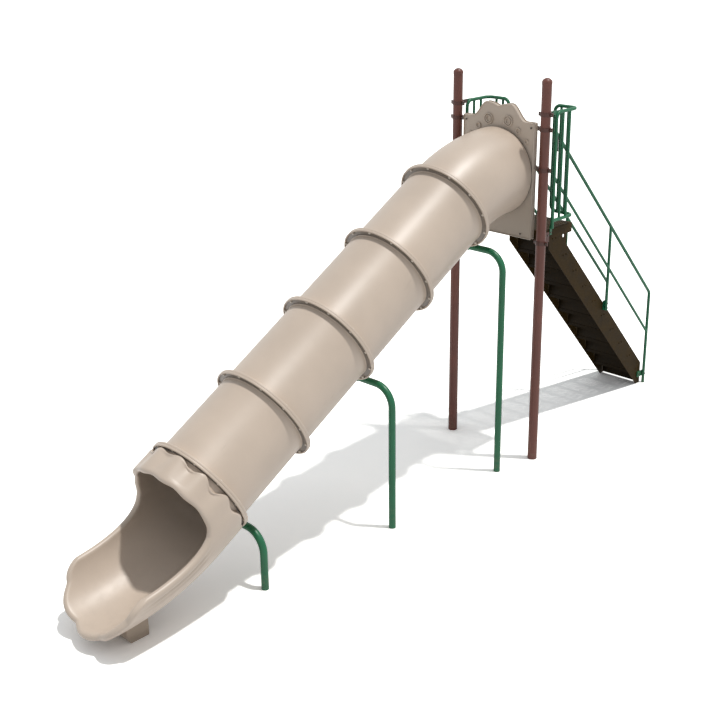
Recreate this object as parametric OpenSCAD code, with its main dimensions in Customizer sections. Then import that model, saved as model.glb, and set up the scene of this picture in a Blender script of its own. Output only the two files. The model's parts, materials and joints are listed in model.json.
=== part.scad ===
/* [Slide tube] */
// Outside radius of the slide tube
tube_r = 400; // [360:5:440]
// Wall of the slide tube
tube_wall = 8; // [6:1:12]
// Slope of the straight run in degrees
slope = 30; // [27:0.5:33]
// Height of the slide's centre line above the ground at the exit
exit_axis_h = 557.56; // [500:5:640]
// Length of the lowest straight section between its joint faces
low_section_len = 763; // [700:1:900]
// Radius of the entrance bend along the centre of the tube
elbow_r = 1426; // [1300:2:1600]
// Height of the tube's centre above the deck at the entrance
entrance_rise = 505; // [480:5:560]
// Thickness of one joint flange
flange_w = 20; // [16:1:26]
// Height of a joint flange above the tube
flange_h = 57; // [50:1:66]
// Bevel on the outer edge of a joint flange
flange_bevel = 7; // [3:1:9]
// Half of the fine groove between two flanges
flange_groove = 1.5; // [1:0.5:3]
// Number of bolts in one joint
joint_bolt_count = 12; // [8:1:16]
// Height of the joint bolts above the tube
joint_bolt_h = 35; // [30:1:40]

/* [Exit section] */
// Radius of the exit bend along the centre of the trough
exit_bend_r = 1645; // [1500:5:1800]
// Length of the straight neck and hood before the bend
exit_straight = 255; // [250:1:300]
// Height of the neck above the tube
exit_neck_h = 10; // [6:1:14]
// Height of the hood and trough above the tube
exit_body_h = 55; // [50:1:60]
// Depth of the double wall of the hood and trough
exit_wall = 56; // [46:2:60]
// Length from the joint face to the brim of the hood
brim_len = 260; // [230:1:300]
// Extra length of the hood at its sides
brim_side = 70; // [50:1:90]
// Angle of the trough's rim above its lowest line
rim_angle = 79; // [72:1:84]
// Length from the joint face to the tip of the lip
lip_len = 1205; // [1150:1:1240]
// Height of the scallops on the lip
lip_scallop = 38; // [20:1:50]
// Shallowest scallop behind the hood's upper edge
hood_scallop = 22; // [12:1:30]
// Added depth of the deepest scallop
hood_scallop_more = 38; // [20:1:44]
// Depth of the flutes on the hood
flute_depth = 7; // [2:1:9]
// Width of the foot under the lip
foot_w = 350; // [250:5:400]
// Length of the foot under the lip
foot_len = 190; // [150:5:230]
// Distance of the foot's front behind the tip of the lip
foot_back = 265; // [220:5:320]
// Slant at the front of the foot
foot_slant = 30; // [10:5:50]

/* [Entrance panel] */
// How far the panel's sides stand out beyond the tube
panel_side = 3; // [0:1:12]
// Thickness of the panel
panel_t = 57; // [40:1:70]
// Distance of the panel's front face ahead of the posts' centre
panel_front = 33; // [20:1:40]
// Height of the panel's lower edge below the deck
panel_drop = 85; // [60:1:100]
// Height of the shoulders above the deck
panel_shoulder = 978; // [940:2:1060]
// Height of the peaks above the shoulders
panel_peak = 142; // [100:2:180]
// Depth of the notch between the peaks
panel_notch = 30; // [10:1:60]
// Distance of a peak from the middle
panel_peak_x = 130; // [100:2:160]
// Distance of the end of the sweep from the middle
panel_sweep_x = 300; // [260:2:340]
// How far the panel's opening is smaller than the tube
opening_inset = 28; // [24:1:34]
// Thickness of the tube's inner flange at the panel
inner_flange_t = 10; // [6:1:14]
// Number of bolts round the opening
opening_bolt_count = 8; // [6:1:12]
// Radius of the beading of the ring pattern
motif_bead_r = 3.5; // [2:0.5:5]

/* [Posts and clamps] */
// Outside diameter of the two posts
post_d = 88.9; // [76:0.1:102]
// Distance between the centres of the posts
post_spacing = 992; // [984:1:1060]
// Height of a post with its cap
post_h = 3618; // [3450:1:3900]
// Height of the post cap's straight skirt
cap_skirt = 22; // [15:1:40]
// Height of the post cap's dome
cap_dome = 30; // [8:1:40]
// Wall of a post cap
cap_wall = 1.5; // [1:0.5:3]
// Wall of a clamp
clamp_wall = 6; // [4:1:9]
// Height of a clamp along its post
clamp_h = 34; // [28:1:44]
// Distance of the ear bolts from the post's centre
clamp_bolt_x = 62; // [58:1:70]
// Height of the upper panel clamps above the deck
panel_clamp_z = 930; // [880:5:935]
// Height of the middle panel clamps above the deck
middle_clamp_z = 572; // [540:2:600]
// Distance of the deck clamps below the deck
deck_clamp_z = 97; // [90:1:110]

/* [Deck] */
// Height of the deck, which the risers share
deck_h = 2240; // [2100:10:2400]
// Half of the deck's width
deck_half_w = 490; // [480:1:493]
// Distance of the deck's rear edge behind the posts' centre
deck_back = 500; // [480:5:620]
// Distance of the deck's main part behind the posts' centre
deck_start = 50; // [48:1:60]
// Height of the deck's skirt
deck_skirt = 90; // [70:1:94]
// Plate thickness of the deck and treads
plate_t = 5; // [3:0.5:6]
// Half of the width of the deck's front tongue
tongue_half_w = 430; // [410:1:435]

/* [Stairs] */
// Half of the width over the stringers
stair_half_w = 235; // [225:1:238]
// Number of treads
tread_count = 10; // [10:1:10]
// Going from one tread to the next
tread_going = 187.6; // [180:0.2:200]
// Depth of a tread from front to back
tread_depth = 200; // [180:1:210]
// Length of the top tread that lies under the deck
tread_under = 54; // [20:1:60]
// Depth of a tread's turned down edge
tread_lip = 38; // [25:1:45]
// Gap between the ground and the lowest riser
kick_gap = 15; // [5:1:30]
// Thickness of a stringer
stringer_t = 6; // [4:0.5:8]
// Depth of a stringer square to its slope
stringer_w = 210; // [200:1:230]
// Height of the stringer's upper edge above a tread, at the tread's middle
stringer_over = 155; // [135:1:175]
// Length of the stringer's head along the deck
head_len = 290; // [260:2:310]
// Distance of the stringer's head below the deck
head_drop = 110; // [100:1:130]
// Length of the slot in the stringer's head
head_slot = 50; // [30:1:60]
// Distance of the stringers' rear end behind the last tread's centre
stringer_end = 115; // [100:1:125]

/* [Guards and handrails] */
// Outside radius of the guard's frame and the handrail
rail_r = 16; // [14:0.5:18]
// Outside radius of a guard's upright bar
bar_r = 12.5; // [10:0.5:13]
// Outside radius of the handrail's middle post
mid_post_r = 15; // [12:0.5:15.5]
// Outside radius of the handrail's middle rail
mid_rail_r = 14; // [11:0.5:14.5]
// Bend radius of the guards and handrails
rail_bend = 60; // [45:1:70]
// Distance of the guard's front upright behind the posts' centre
guard_front = 150; // [140:2:170]
// Distance of the guard's rear rails ahead of the deck's rear edge
guard_inset = 30; // [25:1:45]
// Height of the guard above the deck
guard_top = 1062; // [1000:2:1090]
// Height of the guard's lower rail above the deck
guard_low = 80; // [60:5:110]
// Distance of the guard's inner upright from the middle
guard_inner_x = 262; // [262:1:280]
// Height above the deck where the handrail starts
hand_top = 820; // [760:5:860]
// Height above the deck where the middle rail starts
hand_mid = 400; // [360:5:440]
// Height of the handrail's lower corner above the ground
hand_low = 1050; // [950:5:1100]
// Height of the middle rail's lower end above the ground
hand_mid_low = 600; // [500:5:650]
// Distance of the handrail's lower post behind the stringers
hand_back = 28; // [24:1:40]
// Tread that the handrail's middle post stands beside
hand_post_tread = 5; // [4:1:7]
// Distance of the middle post behind that tread's middle
hand_post_back = 46; // [40:1:60]
// Height of the middle post's lower end above that tread
hand_post_rise = 42; // [38:1:60]
// Height of the dark connector block
connector_h = 125; // [100:1:140]

/* [Support legs] */
// Outside diameter of the support legs
leg_d = 60.3; // [48:0.1:70]
// Distance of the upper and middle legs from the middle
leg_reach = 418; // [400:2:500]
// Distance of the lower leg from the middle
leg_reach_low = 342; // [330:2:460]
// Bend radius of a leg
leg_bend = 175; // [130:5:200]
// Distance of a leg's arm below the tube
leg_drop = 123; // [118:1:150]
// Thickness of a leg's saddle plate
saddle_t = 8; // [5:1:10]
// Width of a leg's saddle plate
saddle_w = 64; // [50:2:80]

/* [Fasteners] */
// Radius of a bolt's shank
bolt_r = 5; // [4:0.5:5.5]
// Radius of a bolt's head
bolt_head_r = 9; // [8:0.5:11]
// Height of a bolt's head
bolt_head_h = 6; // [4:0.5:7]
// Running clearance between pieces that fit each other
fit = 0.3; // [0.2:0.05:0.5]

/* [Hidden] */
$fn = 64;
round_fn = 96;
// A bend is this much thicker than its tube, and the tube runs this far into it
bend_over = 0.2;
bend_lap = 2;
tube_in = tube_r - tube_wall;
opening_r = tube_r - opening_inset;
panel_half_w = tube_r + panel_side;
flange_r = tube_r + flange_h;
joint_pitch_r = tube_r + joint_bolt_h;
post_r = post_d / 2;
post_x = post_spacing / 2;
leg_r = leg_d / 2;
hole_r = bolt_r + fit;
nut_r = bolt_head_r;
nut_h = bolt_head_h + 2;
panel_back = panel_t - panel_front;
entrance_z = deck_h + entrance_rise;
down_y = -cos(slope);
down_z = -sin(slope);
up_y = -sin(slope);
up_z = cos(slope);
elbow_y = -panel_front - elbow_r * sin(slope);
elbow_z = entrance_z - elbow_r * (1 - cos(slope));
// The upper sections share what the lowest one leaves of the straight run down to the exit
run_len = (elbow_z - exit_axis_h - exit_bend_r * (1 - cos(slope))) / sin(slope) - exit_straight;
section_len = (run_len - flange_w - low_section_len) / 3;
// Distances of the joint faces from the end of the entrance bend
joint_at = [for (k = [0:4]) flange_w + (k < 4 ? k * section_len : 3 * section_len + low_section_len)];
exit_s = joint_at[4];
exit_y = elbow_y + exit_s * down_y;
exit_z = elbow_z + exit_s * down_z;
bend_y = exit_y + exit_straight * down_y;
bend_z = exit_z + exit_straight * down_z;
bend_cy = bend_y + exit_bend_r * up_y;
bend_cz = bend_z + exit_bend_r * up_z;
bend_len = exit_bend_r * slope * PI / 180;
flat_z = bend_cz - exit_bend_r;
lip_y = bend_cy - (lip_len - exit_straight - bend_len);
riser = deck_h / (tread_count + 1);
pitch_tan = riser / tread_going;
pitch_deg = atan(pitch_tan);
tread_zero = deck_back - tread_under + tread_depth / 2;
stringer_back = tread_y(1) + stringer_end;
head_y = deck_back + plate_t;
hand_x = stair_half_w + 30;
hand_y = stringer_back + hand_back;
guard_x = deck_half_w;
guard_y = deck_back - guard_inset;
hand_start = guard_y + rail_r + 4;
back_y = hand_y + rail_r;
mid_y = (lip_y + back_y) / 2;

function tread_z(k) = k * riser;
function tread_y(k) = tread_zero + (tread_count - k) * tread_going;
function mirror_sign(side) = side == "right" ? 1 : -1;
function unit(v) = v / norm(v);

// The ground under the middle of the whole object becomes the origin
module place() {
    translate([0, -mid_y, 0]) children();
}

// Local z runs down the slide from a distance along the slope, local y points off the tube's crown
module on_slope(s) {
    translate([0, elbow_y + s * down_y, elbow_z + s * down_z]) rotate([90 + slope, 0, 0]) children();
}

module both_sides() {
    children();
    mirror([1, 0, 0]) children();
}

// A round bar from one point to another
module bar(a, b, r) {
    v = b - a;
    translate(a) rotate([0, acos(v.z / norm(v)), atan2(v.y, v.x)]) cylinder(r = r, h = norm(v));
}

function bend_angle(p, i) = acos(unit(p[i] - p[i - 1]) * unit(p[i + 1] - p[i]));
function bend_cut(p, i, bend) = (i == 0 || i == len(p) - 1) ? 0 : bend * tan(bend_angle(p, i) / 2);
function bar_cut(p, i, bend) = max(0, bend_cut(p, i, bend) - bend_lap);

// A round tube along points, with a true bend at each inner point that laps a little over the straights
module pipe(p, r, bend) {
    for (i = [0:len(p) - 2]) {
        d = unit(p[i + 1] - p[i]);
        bar(p[i] + d * bar_cut(p, i, bend), p[i + 1] - d * bar_cut(p, i + 1, bend), r);
    }
    if (len(p) > 2)
        for (i = [1:len(p) - 2]) {
            u = unit(p[i] - p[i - 1]);
            z = unit(cross(u, p[i + 1] - p[i]));
            x = -cross(z, u);
            c = p[i] - u * bend_cut(p, i, bend) - x * bend;
            multmatrix([[x.x, u.x, z.x, c.x], [x.y, u.y, z.y, c.y], [x.z, u.z, z.z, c.z]])
                rotate_extrude(angle = bend_angle(p, i)) translate([bend, 0]) circle(r + bend_over);
        }
}

// A bolt along local z: head above zero, shank down to -grip, nut below
module bolt(grip, nut = true) {
    cylinder(r = bolt_head_r, h = bolt_head_h * 0.55);
    translate([0, 0, bolt_head_h * 0.55])
        cylinder(r1 = bolt_head_r, r2 = bolt_head_r * 0.62, h = bolt_head_h * 0.45);
    translate([0, 0, -grip - (nut ? nut_h : 0)]) cylinder(r = bolt_r, h = grip + (nut ? nut_h : 0) + 1);
    if (nut) translate([0, 0, -grip - nut_h + 1]) cylinder(r = nut_r, h = nut_h - 1, $fn = 6);
}

// POSTS
module post(side) {
    color("#70443c") translate([mirror_sign(side) * post_x, 0, 0]) cylinder(r = post_r, h = post_h - cap_dome);
}

module post_cap(side) {
    cap_r = post_r + cap_wall;
    dome_r = (cap_r * cap_r + cap_dome * cap_dome) / (2 * cap_dome);
    color("#70443c") translate([mirror_sign(side) * post_x, 0, post_h - cap_dome])
        difference() {
            union() {
                intersection() {
                    translate([0, 0, cap_dome - dome_r]) sphere(r = dome_r, $fn = round_fn);
                    cylinder(r = cap_r, h = cap_dome + 1);
                }
                translate([0, 0, -cap_skirt]) cylinder(r = cap_r, h = cap_skirt);
            }
            translate([0, 0, -cap_skirt - 1]) cylinder(r = post_r + fit / 2, h = cap_skirt + 1);
        }
}

// CLAMPS
clamp_r = post_r + clamp_wall;
ear_end = clamp_bolt_x + bolt_head_r + 4;
ear_t = clamp_wall + 1;

// Ring with an ear on each side, drilled for the ear bolts
module clamp_ring(z) {
    translate([post_x, 0, z]) difference() {
        union() {
            translate([0, 0, -clamp_h / 2]) cylinder(r = clamp_r, h = clamp_h);
            translate([-ear_end, -ear_t, -clamp_h / 2]) cube([2 * ear_end, 2 * ear_t, clamp_h]);
            children();
        }
        translate([0, 0, -clamp_h]) cylinder(r = post_r + fit / 2, h = 2 * clamp_h);
        for (s = [-1, 1]) translate([s * clamp_bolt_x, ear_t + 1, 0]) rotate([90, 0, 0])
            cylinder(r = hole_r, h = 2 * ear_t + 2);
    }
}

module clamp_ear_bolts(z) {
    for (s = [-1, 1]) translate([post_x + s * clamp_bolt_x, -ear_t, z]) rotate([90, 0, 0]) bolt(2 * ear_t);
}

// The tab on a guard clamp reaches back beside the guard's own lug
tab_x = guard_x - post_x + ear_t / 2;
tab_bolt_y = (post_r + clamp_wall + guard_front - rail_r) / 2;
tab_end = guard_front - rail_r - 1;

module guard_clamps() {
    color("#70443c") both_sides() difference() {
        clamp_ring(deck_h + guard_top)
            translate([tab_x, post_r - 2, -clamp_h / 2]) cube([ear_t, tab_end - post_r + 2, clamp_h]);
        translate([post_x + tab_x - 1, tab_bolt_y, deck_h + guard_top]) rotate([0, 90, 0])
            cylinder(r = hole_r, h = ear_t + 2);
    }
}

// A panel clamp reaches behind the panel, where a bolt from the front holds it
upper_bolt_x = 366;
middle_bolt_x = (opening_r + panel_half_w) / 2 + 2;

module panel_clamps(z, bolt_x) {
    reach = post_x - bolt_x + bolt_head_r + 2;
    color("#70443c") both_sides() difference() {
        clamp_ring(z) translate([-reach, panel_back, -clamp_h / 2]) cube([reach - post_r + 6, clamp_wall, clamp_h]);
        translate([bolt_x, panel_back + clamp_wall + 1, z]) rotate([90, 0, 0])
            cylinder(r = hole_r, h = clamp_wall + 2);
    }
}

module panel_clamps_upper() {
    panel_clamps(deck_h + panel_clamp_z, upper_bolt_x);
}

module panel_clamps_middle() {
    panel_clamps(deck_h + middle_clamp_z, middle_bolt_x);
}

// The deck clamps' plates lie outside the deck's side skirts
deck_tab_y = [deck_start + 24, deck_start + 60];
deck_tab_end = deck_tab_y[1] + 18;
deck_bolt_z = deck_h - deck_skirt + 28;

module deck_clamps() {
    tab_h = deck_h - 20 - (deck_h - deck_clamp_z - clamp_h / 2);
    color("#70443c") both_sides() difference() {
        clamp_ring(deck_h - deck_clamp_z - fit)
            translate([deck_half_w + fit - post_x, post_r - 2, -clamp_h / 2])
                cube([clamp_wall, deck_tab_end - post_r + 2, tab_h]);
        for (y = deck_tab_y) translate([deck_half_w - 1, y, deck_bolt_z + 10]) rotate([0, 90, 0])
            cylinder(r = hole_r, h = clamp_wall + 4);
    }
}

module clamp_bolts() {
    color("#4d4a48") both_sides()
        for (z = [guard_top, panel_clamp_z, middle_clamp_z, -deck_clamp_z - fit]) clamp_ear_bolts(deck_h + z);
}

// ENTRANCE PANEL
panel_low = deck_h - panel_drop;
panel_high = deck_h + panel_shoulder;

// Height of the panel's top edge at a distance from the middle
function panel_top(a) = a <= panel_peak_x
    ? panel_high + panel_peak - panel_notch * (1 - sin(90 * a / panel_peak_x))
    : a <= panel_sweep_x
    ? panel_high + panel_peak * (0.5 + 0.5 * cos(180 * (a - panel_peak_x) / (panel_sweep_x - panel_peak_x)))
    : panel_high;

function panel_outline() = let (m = 26, n = panel_half_w)
    concat([[-n, panel_low], [n, panel_low]], [for (i = [0:2 * m]) let (x = n * (1 - i / m)) [x, panel_top(abs(x))]]);

// Distance, height above the entrance's centre and radius of each ring of the pattern
motifs = [[110, 460, 46], [110, 460, 27], [225, 384, 24], [316, 300, 19]];

deck_panel_bolt_x = 286;
deck_panel_bolt_z = deck_h - 45;
opening_bolt_r = (opening_r + tube_r) / 2 + 1;

module panel_holes() {
    both_sides() {
        for (q = [[upper_bolt_x, deck_h + panel_clamp_z], [middle_bolt_x, deck_h + middle_clamp_z],
                [deck_panel_bolt_x, deck_panel_bolt_z]])
            translate([q[0], panel_back + 1, q[1]]) rotate([90, 0, 0]) cylinder(r = hole_r, h = panel_t + 2);
    }
    for (k = [0:opening_bolt_count - 1]) translate([0, panel_back + 1, entrance_z])
        rotate([90, 180 * (2 * k + 1) / opening_bolt_count, 0]) translate([opening_bolt_r, 0, 0])
            cylinder(r = hole_r, h = panel_t + 2);
}

module entrance_panel() {
    color("#aaa094") difference() {
        union() {
            translate([0, panel_back, 0]) rotate([90, 0, 0]) linear_extrude(panel_t) polygon(panel_outline());
            both_sides() for (m = motifs) translate([m[0], -panel_front, entrance_z + m[1]]) rotate([90, 0, 0])
                rotate_extrude() translate([m[2], 0]) circle(r = motif_bead_r, $fn = 16);
        }
        translate([0, panel_back + 1, entrance_z]) rotate([90, 0, 0])
            cylinder(r = opening_r, h = panel_t + 2, $fn = round_fn);
        panel_holes();
    }
}

module panel_bolts() {
    color("#4d4a48") both_sides() {
        translate([upper_bolt_x, -panel_front, deck_h + panel_clamp_z]) rotate([90, 0, 0])
            bolt(panel_t + clamp_wall);
        translate([middle_bolt_x, panel_back + clamp_wall, deck_h + middle_clamp_z]) rotate([-90, 0, 0])
            bolt(panel_t * 0.6, false);
        translate([deck_panel_bolt_x, -panel_front, deck_panel_bolt_z]) rotate([90, 0, 0])
            bolt(panel_t + plate_t + tongue_gap);
    }
}

module entrance_bolts() {
    color("#4d4a48") for (k = [0:opening_bolt_count - 1]) translate([0, panel_back, entrance_z])
        rotate([90, 180 * (2 * k + 1) / opening_bolt_count, 0]) translate([opening_bolt_r, 0, 0])
            rotate([180, 0, 0]) bolt(panel_t + inner_flange_t - 1, false);
}

// SLIDE TUBE
// Profile of a joint flange on the tube, radius against distance, from the joint face at zero
function flange_profile(dir) = [
    [flange_r - flange_groove, 0], [flange_r, dir * flange_groove],
    [flange_r, dir * (flange_w - flange_bevel)], [flange_r - flange_bevel, dir * flange_w],
    [tube_r, dir * flange_w]];

module joint_holes(depth, dir) {
    for (k = [0:joint_bolt_count - 1]) rotate([0, 0, 360 * k / joint_bolt_count])
        translate([0, joint_pitch_r, dir > 0 ? -1 : -depth - 1]) cylinder(r = hole_r, h = depth + 2);
}

module tube_section(k) {
    n = joint_at[k] - joint_at[k - 1];
    lower = [for (q = flange_profile(-1)) [q[0], n + q[1]]];
    color("#c8b9a5") on_slope(joint_at[k - 1]) difference() {
        rotate_extrude($fn = round_fn) polygon(concat([[tube_in, 0]], flange_profile(1),
            [for (i = [len(lower) - 1:-1:0]) lower[i]], [[tube_in, n]]));
        joint_holes(flange_w, 1);
        translate([0, 0, n]) joint_holes(flange_w, -1);
    }
}

module entrance_section() {
    lower = flange_profile(-1);
    color("#c8b9a5") difference() {
        union() {
            // Straight flange at the lower end of the bend
            on_slope(joint_at[0]) rotate_extrude($fn = round_fn)
                polygon(concat([[tube_in, -flange_w], [tube_in, 0]], lower));
            // Lap inside the wall that makes the flange one with the bend
            on_slope(joint_at[0] - flange_w - bend_lap) rotate_extrude($fn = round_fn)
                translate([tube_in + tube_wall / 4, 0]) square([tube_wall / 2, 2 * bend_lap]);
            // The bend from the panel's face, swept about an axis below the tube
            translate([0, -panel_front, entrance_z - elbow_r]) rotate([0, -90, 0])
                rotate_extrude(angle = -slope, $fn = round_fn * 4) translate([elbow_r, 0]) difference() {
                    circle(r = tube_r, $fn = round_fn);
                    circle(r = tube_in, $fn = round_fn);
                }
            // Inner flange against the panel
            translate([0, -panel_front - inner_flange_t, entrance_z]) rotate([-90, 0, 0])
                difference() {
                    cylinder(r = tube_in + tube_wall / 2, h = inner_flange_t, $fn = round_fn);
                    translate([0, 0, -1]) cylinder(r = opening_r, h = inner_flange_t + 2, $fn = round_fn);
                }
        }
        on_slope(joint_at[0]) joint_holes(flange_w, -1);
        for (k = [0:opening_bolt_count - 1]) translate([0, -panel_front + 1, entrance_z])
            rotate([90, 180 * (2 * k + 1) / opening_bolt_count, 0]) translate([opening_bolt_r, 0, 0])
                cylinder(r = hole_r, h = inner_flange_t + 2);
    }
}

// The bolts of one joint, the lowest of them longer where a leg's saddle is clamped
module joint_bolts(k, saddle) {
    color("#8d857b") on_slope(joint_at[k] + flange_w)
        for (i = [0:joint_bolt_count - 1]) rotate([0, 0, 360 * i / joint_bolt_count])
            translate([0, joint_pitch_r, 0]) bolt(2 * flange_w + (saddle && i == joint_bolt_count / 2 ? saddle_t : 0));
}

// EXIT SECTION
// Everything is set out from the joint face: u runs down the slide, a is the angle from the lowest line
exit_out = tube_r + exit_body_h;
exit_mid = exit_out - exit_wall / 2;
exit_in = exit_out - exit_wall;
neck_r = tube_r + exit_neck_h;
edge_steps = [0, 0.14, 0.45, 1];
half_wall = exit_wall / 2;
column_step = 5;

// Centre line of the trough: height, distance and the slope at u
function trough_slope(u) = u < exit_straight ? slope
    : u < exit_straight + bend_len ? slope - (u - exit_straight) / exit_bend_r * 180 / PI : 0;
function trough_y(u) = u < exit_straight ? exit_y + u * down_y
    : u < exit_straight + bend_len ? bend_cy + exit_bend_r * sin(trough_slope(u)) : bend_cy - (u - exit_straight - bend_len);
function trough_z(u) = u < exit_straight ? exit_z + u * down_z
    : u < exit_straight + bend_len ? bend_cz - exit_bend_r * cos(trough_slope(u)) : flat_z;
function trough_point(u, a, r) = let (t = trough_slope(u), v = -r * cos(a))
    [r * sin(a), trough_y(u) - sin(t) * v, trough_z(u) + cos(t) * v];

// Front edge of the hood over the crown, running into the rim at the sides
function brim(a) = abs(a) >= 90 ? brim_len + brim_side * exp(-(abs(a) - 90) / 10)
    : brim_len + brim_side + (90 - abs(a)) * 0.3;
// Angle of the rim from the lowest line, falling from the hood and again at the lip
function rim(u) = rim_angle + (90 - rim_angle) * exp(-(u - brim_len - brim_side) / 110)
    - 5 * pow(max(0, (u - lip_len + 330) / 140 * 0.6), 2);
// Front edge of the lip with its scallops
function lip(a) = lip_len - lip_scallop - 0.037 * a * a + lip_scallop * abs(cos(4.5 * a));
// Upper edge of the hood, cut back at each joint bolt
function hood_edge(a) = flange_w + 5 + (hood_scallop + hood_scallop_more * pow(sin(1.5 * (180 - a)), 2))
    * (0.5 + 0.5 * cos(joint_bolt_count * (180 - a)));
function round_in(d) = d >= 1 ? 1 : sqrt(1 - pow(1 - d, 2));
function flute(u, a) = -flute_depth * (0.5 + 0.5 * cos(joint_bolt_count * (180 - a)))
    * max(0, 1 - pow((u - flange_w) / (brim_len - 90), 2));

// Columns: the upper ones end at the brim, the lower ones go on to the lip
edge_deg = [for (e = edge_steps) e * half_wall / exit_mid * 180 / PI];
inner_cols = [for (a = [-85:column_step:85]) a];
low_cols = concat([for (e = [0:3]) -90 + edge_deg[e]], inner_cols, [for (e = [3:-1:0]) 90 - edge_deg[e]]);
top_cols = [for (a = [90 + column_step:column_step:270 - column_step]) a];
nl = len(low_cols);
nc = nl + len(top_cols);
cols = concat(low_cols, top_cols);
col_edge = concat([for (e = [0:3]) edge_steps[e]], [for (a = inner_cols) 9], [for (e = [3:-1:0]) edge_steps[e]]);
brim_rows = 3;
function wrap(a) = a > 180 ? a - 360 : a;

// Share of the full wall near the edge of the closed part
function hood_edge_share(j, step) = j >= nl ? round_in(step) : round_in(norm([step, min(1, col_edge[j])]));

// Closed rows of the outer skin: [u, radius]
function outer_row(i, j) = let (a = wrap(cols[j]), h = hood_edge(a), b = brim(a))
    i == 0 ? [0, flange_r - flange_groove]
    : i == 1 ? [flange_groove, flange_r]
    : i == 2 ? [flange_w - flange_bevel, flange_r]
    : i == 3 ? [flange_w, flange_r - flange_bevel]
    : i == 4 ? [flange_w, neck_r]
    : i == 5 ? [h - 1.5, neck_r]
    : i == 6 ? [h, exit_out - 18]
    : i == 7 ? [h + 6, exit_out - 5 + flute(h, a) * 0.5]
    : i == 8 ? [h + 18, exit_out + flute(h, a)]
    : i == 9 ? [max(120, h + 30), exit_out + flute(120, a)]
    : i == 10 ? [160, exit_out + flute(160, a)]
    : i == 11 ? [195, exit_out + flute(195, a)]
    : let (e = edge_steps[15 - i]) [b - e * half_wall, exit_mid + half_wall * hood_edge_share(j, e)];
// Closed rows of the inner skin
function inner_row(i, j) = let (a = wrap(cols[j]), b = brim(a))
    i == 0 ? [0, tube_in]
    : i == 1 ? [60, tube_in]
    : i == 2 ? [120, tube_in + (exit_in - tube_in) * 0.4]
    : i == 3 ? [180, exit_in]
    : let (e = edge_steps[7 - i]) [b - e * half_wall, exit_mid - half_wall * hood_edge_share(j, e)];
outer_rows = 15;
inner_rows = 7;

// Open rows from the brim to the lip
open_rows = 17;
open_flat = open_rows - 3;
function open_u(i, a) = i <= open_flat
    ? brim(a) + (lip(a) - half_wall - brim(a)) * i / open_flat
    : lip(a) - half_wall * edge_steps[open_rows - i];
function open_edge(i) = rim(open_u(i, rim_angle));
function open_col(i, j) = let (e = open_edge(i), s = col_edge[j])
    s > 1 ? cols[j] * (e - edge_deg[3]) / (90 - edge_deg[3])
    : (j < 4 ? -1 : 1) * (e - s * half_wall / exit_mid * 180 / PI);
function open_share(i, j) = min(round_in(col_edge[j]), i <= open_flat ? 1 : round_in(edge_steps[open_rows - i]));
function open_point(i, j, side) = let (a = open_col(i, j), u = open_u(i, a))
    trough_point(u, a, exit_mid + side * half_wall * open_share(i, j));

module exit_shell() {
    outer_pts = [for (i = [0:outer_rows - 1]) for (j = [0:nc - 1])
        let (q = outer_row(i, j)) trough_point(q[0], cols[j], q[1])];
    // The brim's row serves both skins
    brim_out = [for (j = [0:nc - 1]) let (q = outer_row(outer_rows, j)) trough_point(q[0], cols[j], q[1])];
    brim_in = [for (j = [1:nl - 2]) let (q = inner_row(inner_rows, j)) trough_point(q[0], cols[j], q[1])];
    inner_pts = [for (i = [0:inner_rows - 1]) for (j = [0:nc - 1])
        let (q = inner_row(i, j)) trough_point(q[0], cols[j], q[1])];
    open_out = [for (i = [1:open_rows]) for (j = [0:nl - 1]) open_point(i, j, 1)];
    open_in = [for (i = [1:open_rows - 1]) for (j = [1:nl - 2]) open_point(i, j, -1)];
    b0 = outer_rows * nc;
    b1 = b0 + nc;
    n0 = b1 + nl - 2;
    o0 = n0 + inner_rows * nc;
    i0 = o0 + open_rows * nl;
    // Index of a vertex on the outer and on the inner skin; both share the free edge
    function oc(i, j) = i * nc + j % nc;
    function ic(i, j) = i < inner_rows ? n0 + i * nc + j % nc
        : (j % nc >= 1 && j % nc <= nl - 2) ? b1 + j % nc - 1 : b0 + j % nc;
    function oo(i, j) = i == 0 ? b0 + j : o0 + (i - 1) * nl + j;
    function io(i, j) = i == 0 ? ic(inner_rows, j)
        : (i == open_rows || j == 0 || j == nl - 1) ? oo(i, j) : i0 + (i - 1) * (nl - 2) + j - 1;
    // The left half is split as the mirror of the right, so both corners of the lip close
    function side_quad(j, q) = j < (nl - 1) / 2 ? [q[1], q[2], q[3], q[0]] : q;
    quads = concat(
        [for (i = [0:outer_rows - 1]) for (j = [0:nc - 1])
            [oc(i, j), oc(i, j + 1), oc(i + 1, j + 1), oc(i + 1, j)]],
        [for (i = [0:inner_rows - 1]) for (j = [0:nc - 1])
            [ic(i, j), ic(i + 1, j), ic(i + 1, j + 1), ic(i, j + 1)]],
        [for (j = [0:nc - 1]) [oc(0, j), ic(0, j), ic(0, j + 1), oc(0, j + 1)]],
        [for (i = [0:open_rows - 1]) for (j = [0:nl - 2])
            side_quad(j, [oo(i, j), oo(i, j + 1), oo(i + 1, j + 1), oo(i + 1, j)])],
        [for (i = [0:open_rows - 1]) for (j = [0:nl - 2])
            side_quad(j, [io(i, j), io(i + 1, j), io(i + 1, j + 1), io(i, j + 1)])]);
    tris = [for (q = quads) each [[q[0], q[2], q[1]], [q[0], q[3], q[2]]]];
    faces = [for (t = tris) if (t[0] != t[1] && t[1] != t[2] && t[0] != t[2]) t];
    polyhedron(points = concat(outer_pts, brim_out, brim_in, inner_pts, open_out, open_in), faces = faces);
}

module exit_section() {
    color("#c8b9a5") difference() {
        exit_shell();
        on_slope(exit_s) joint_holes(flange_w, 1);
    }
}

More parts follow.
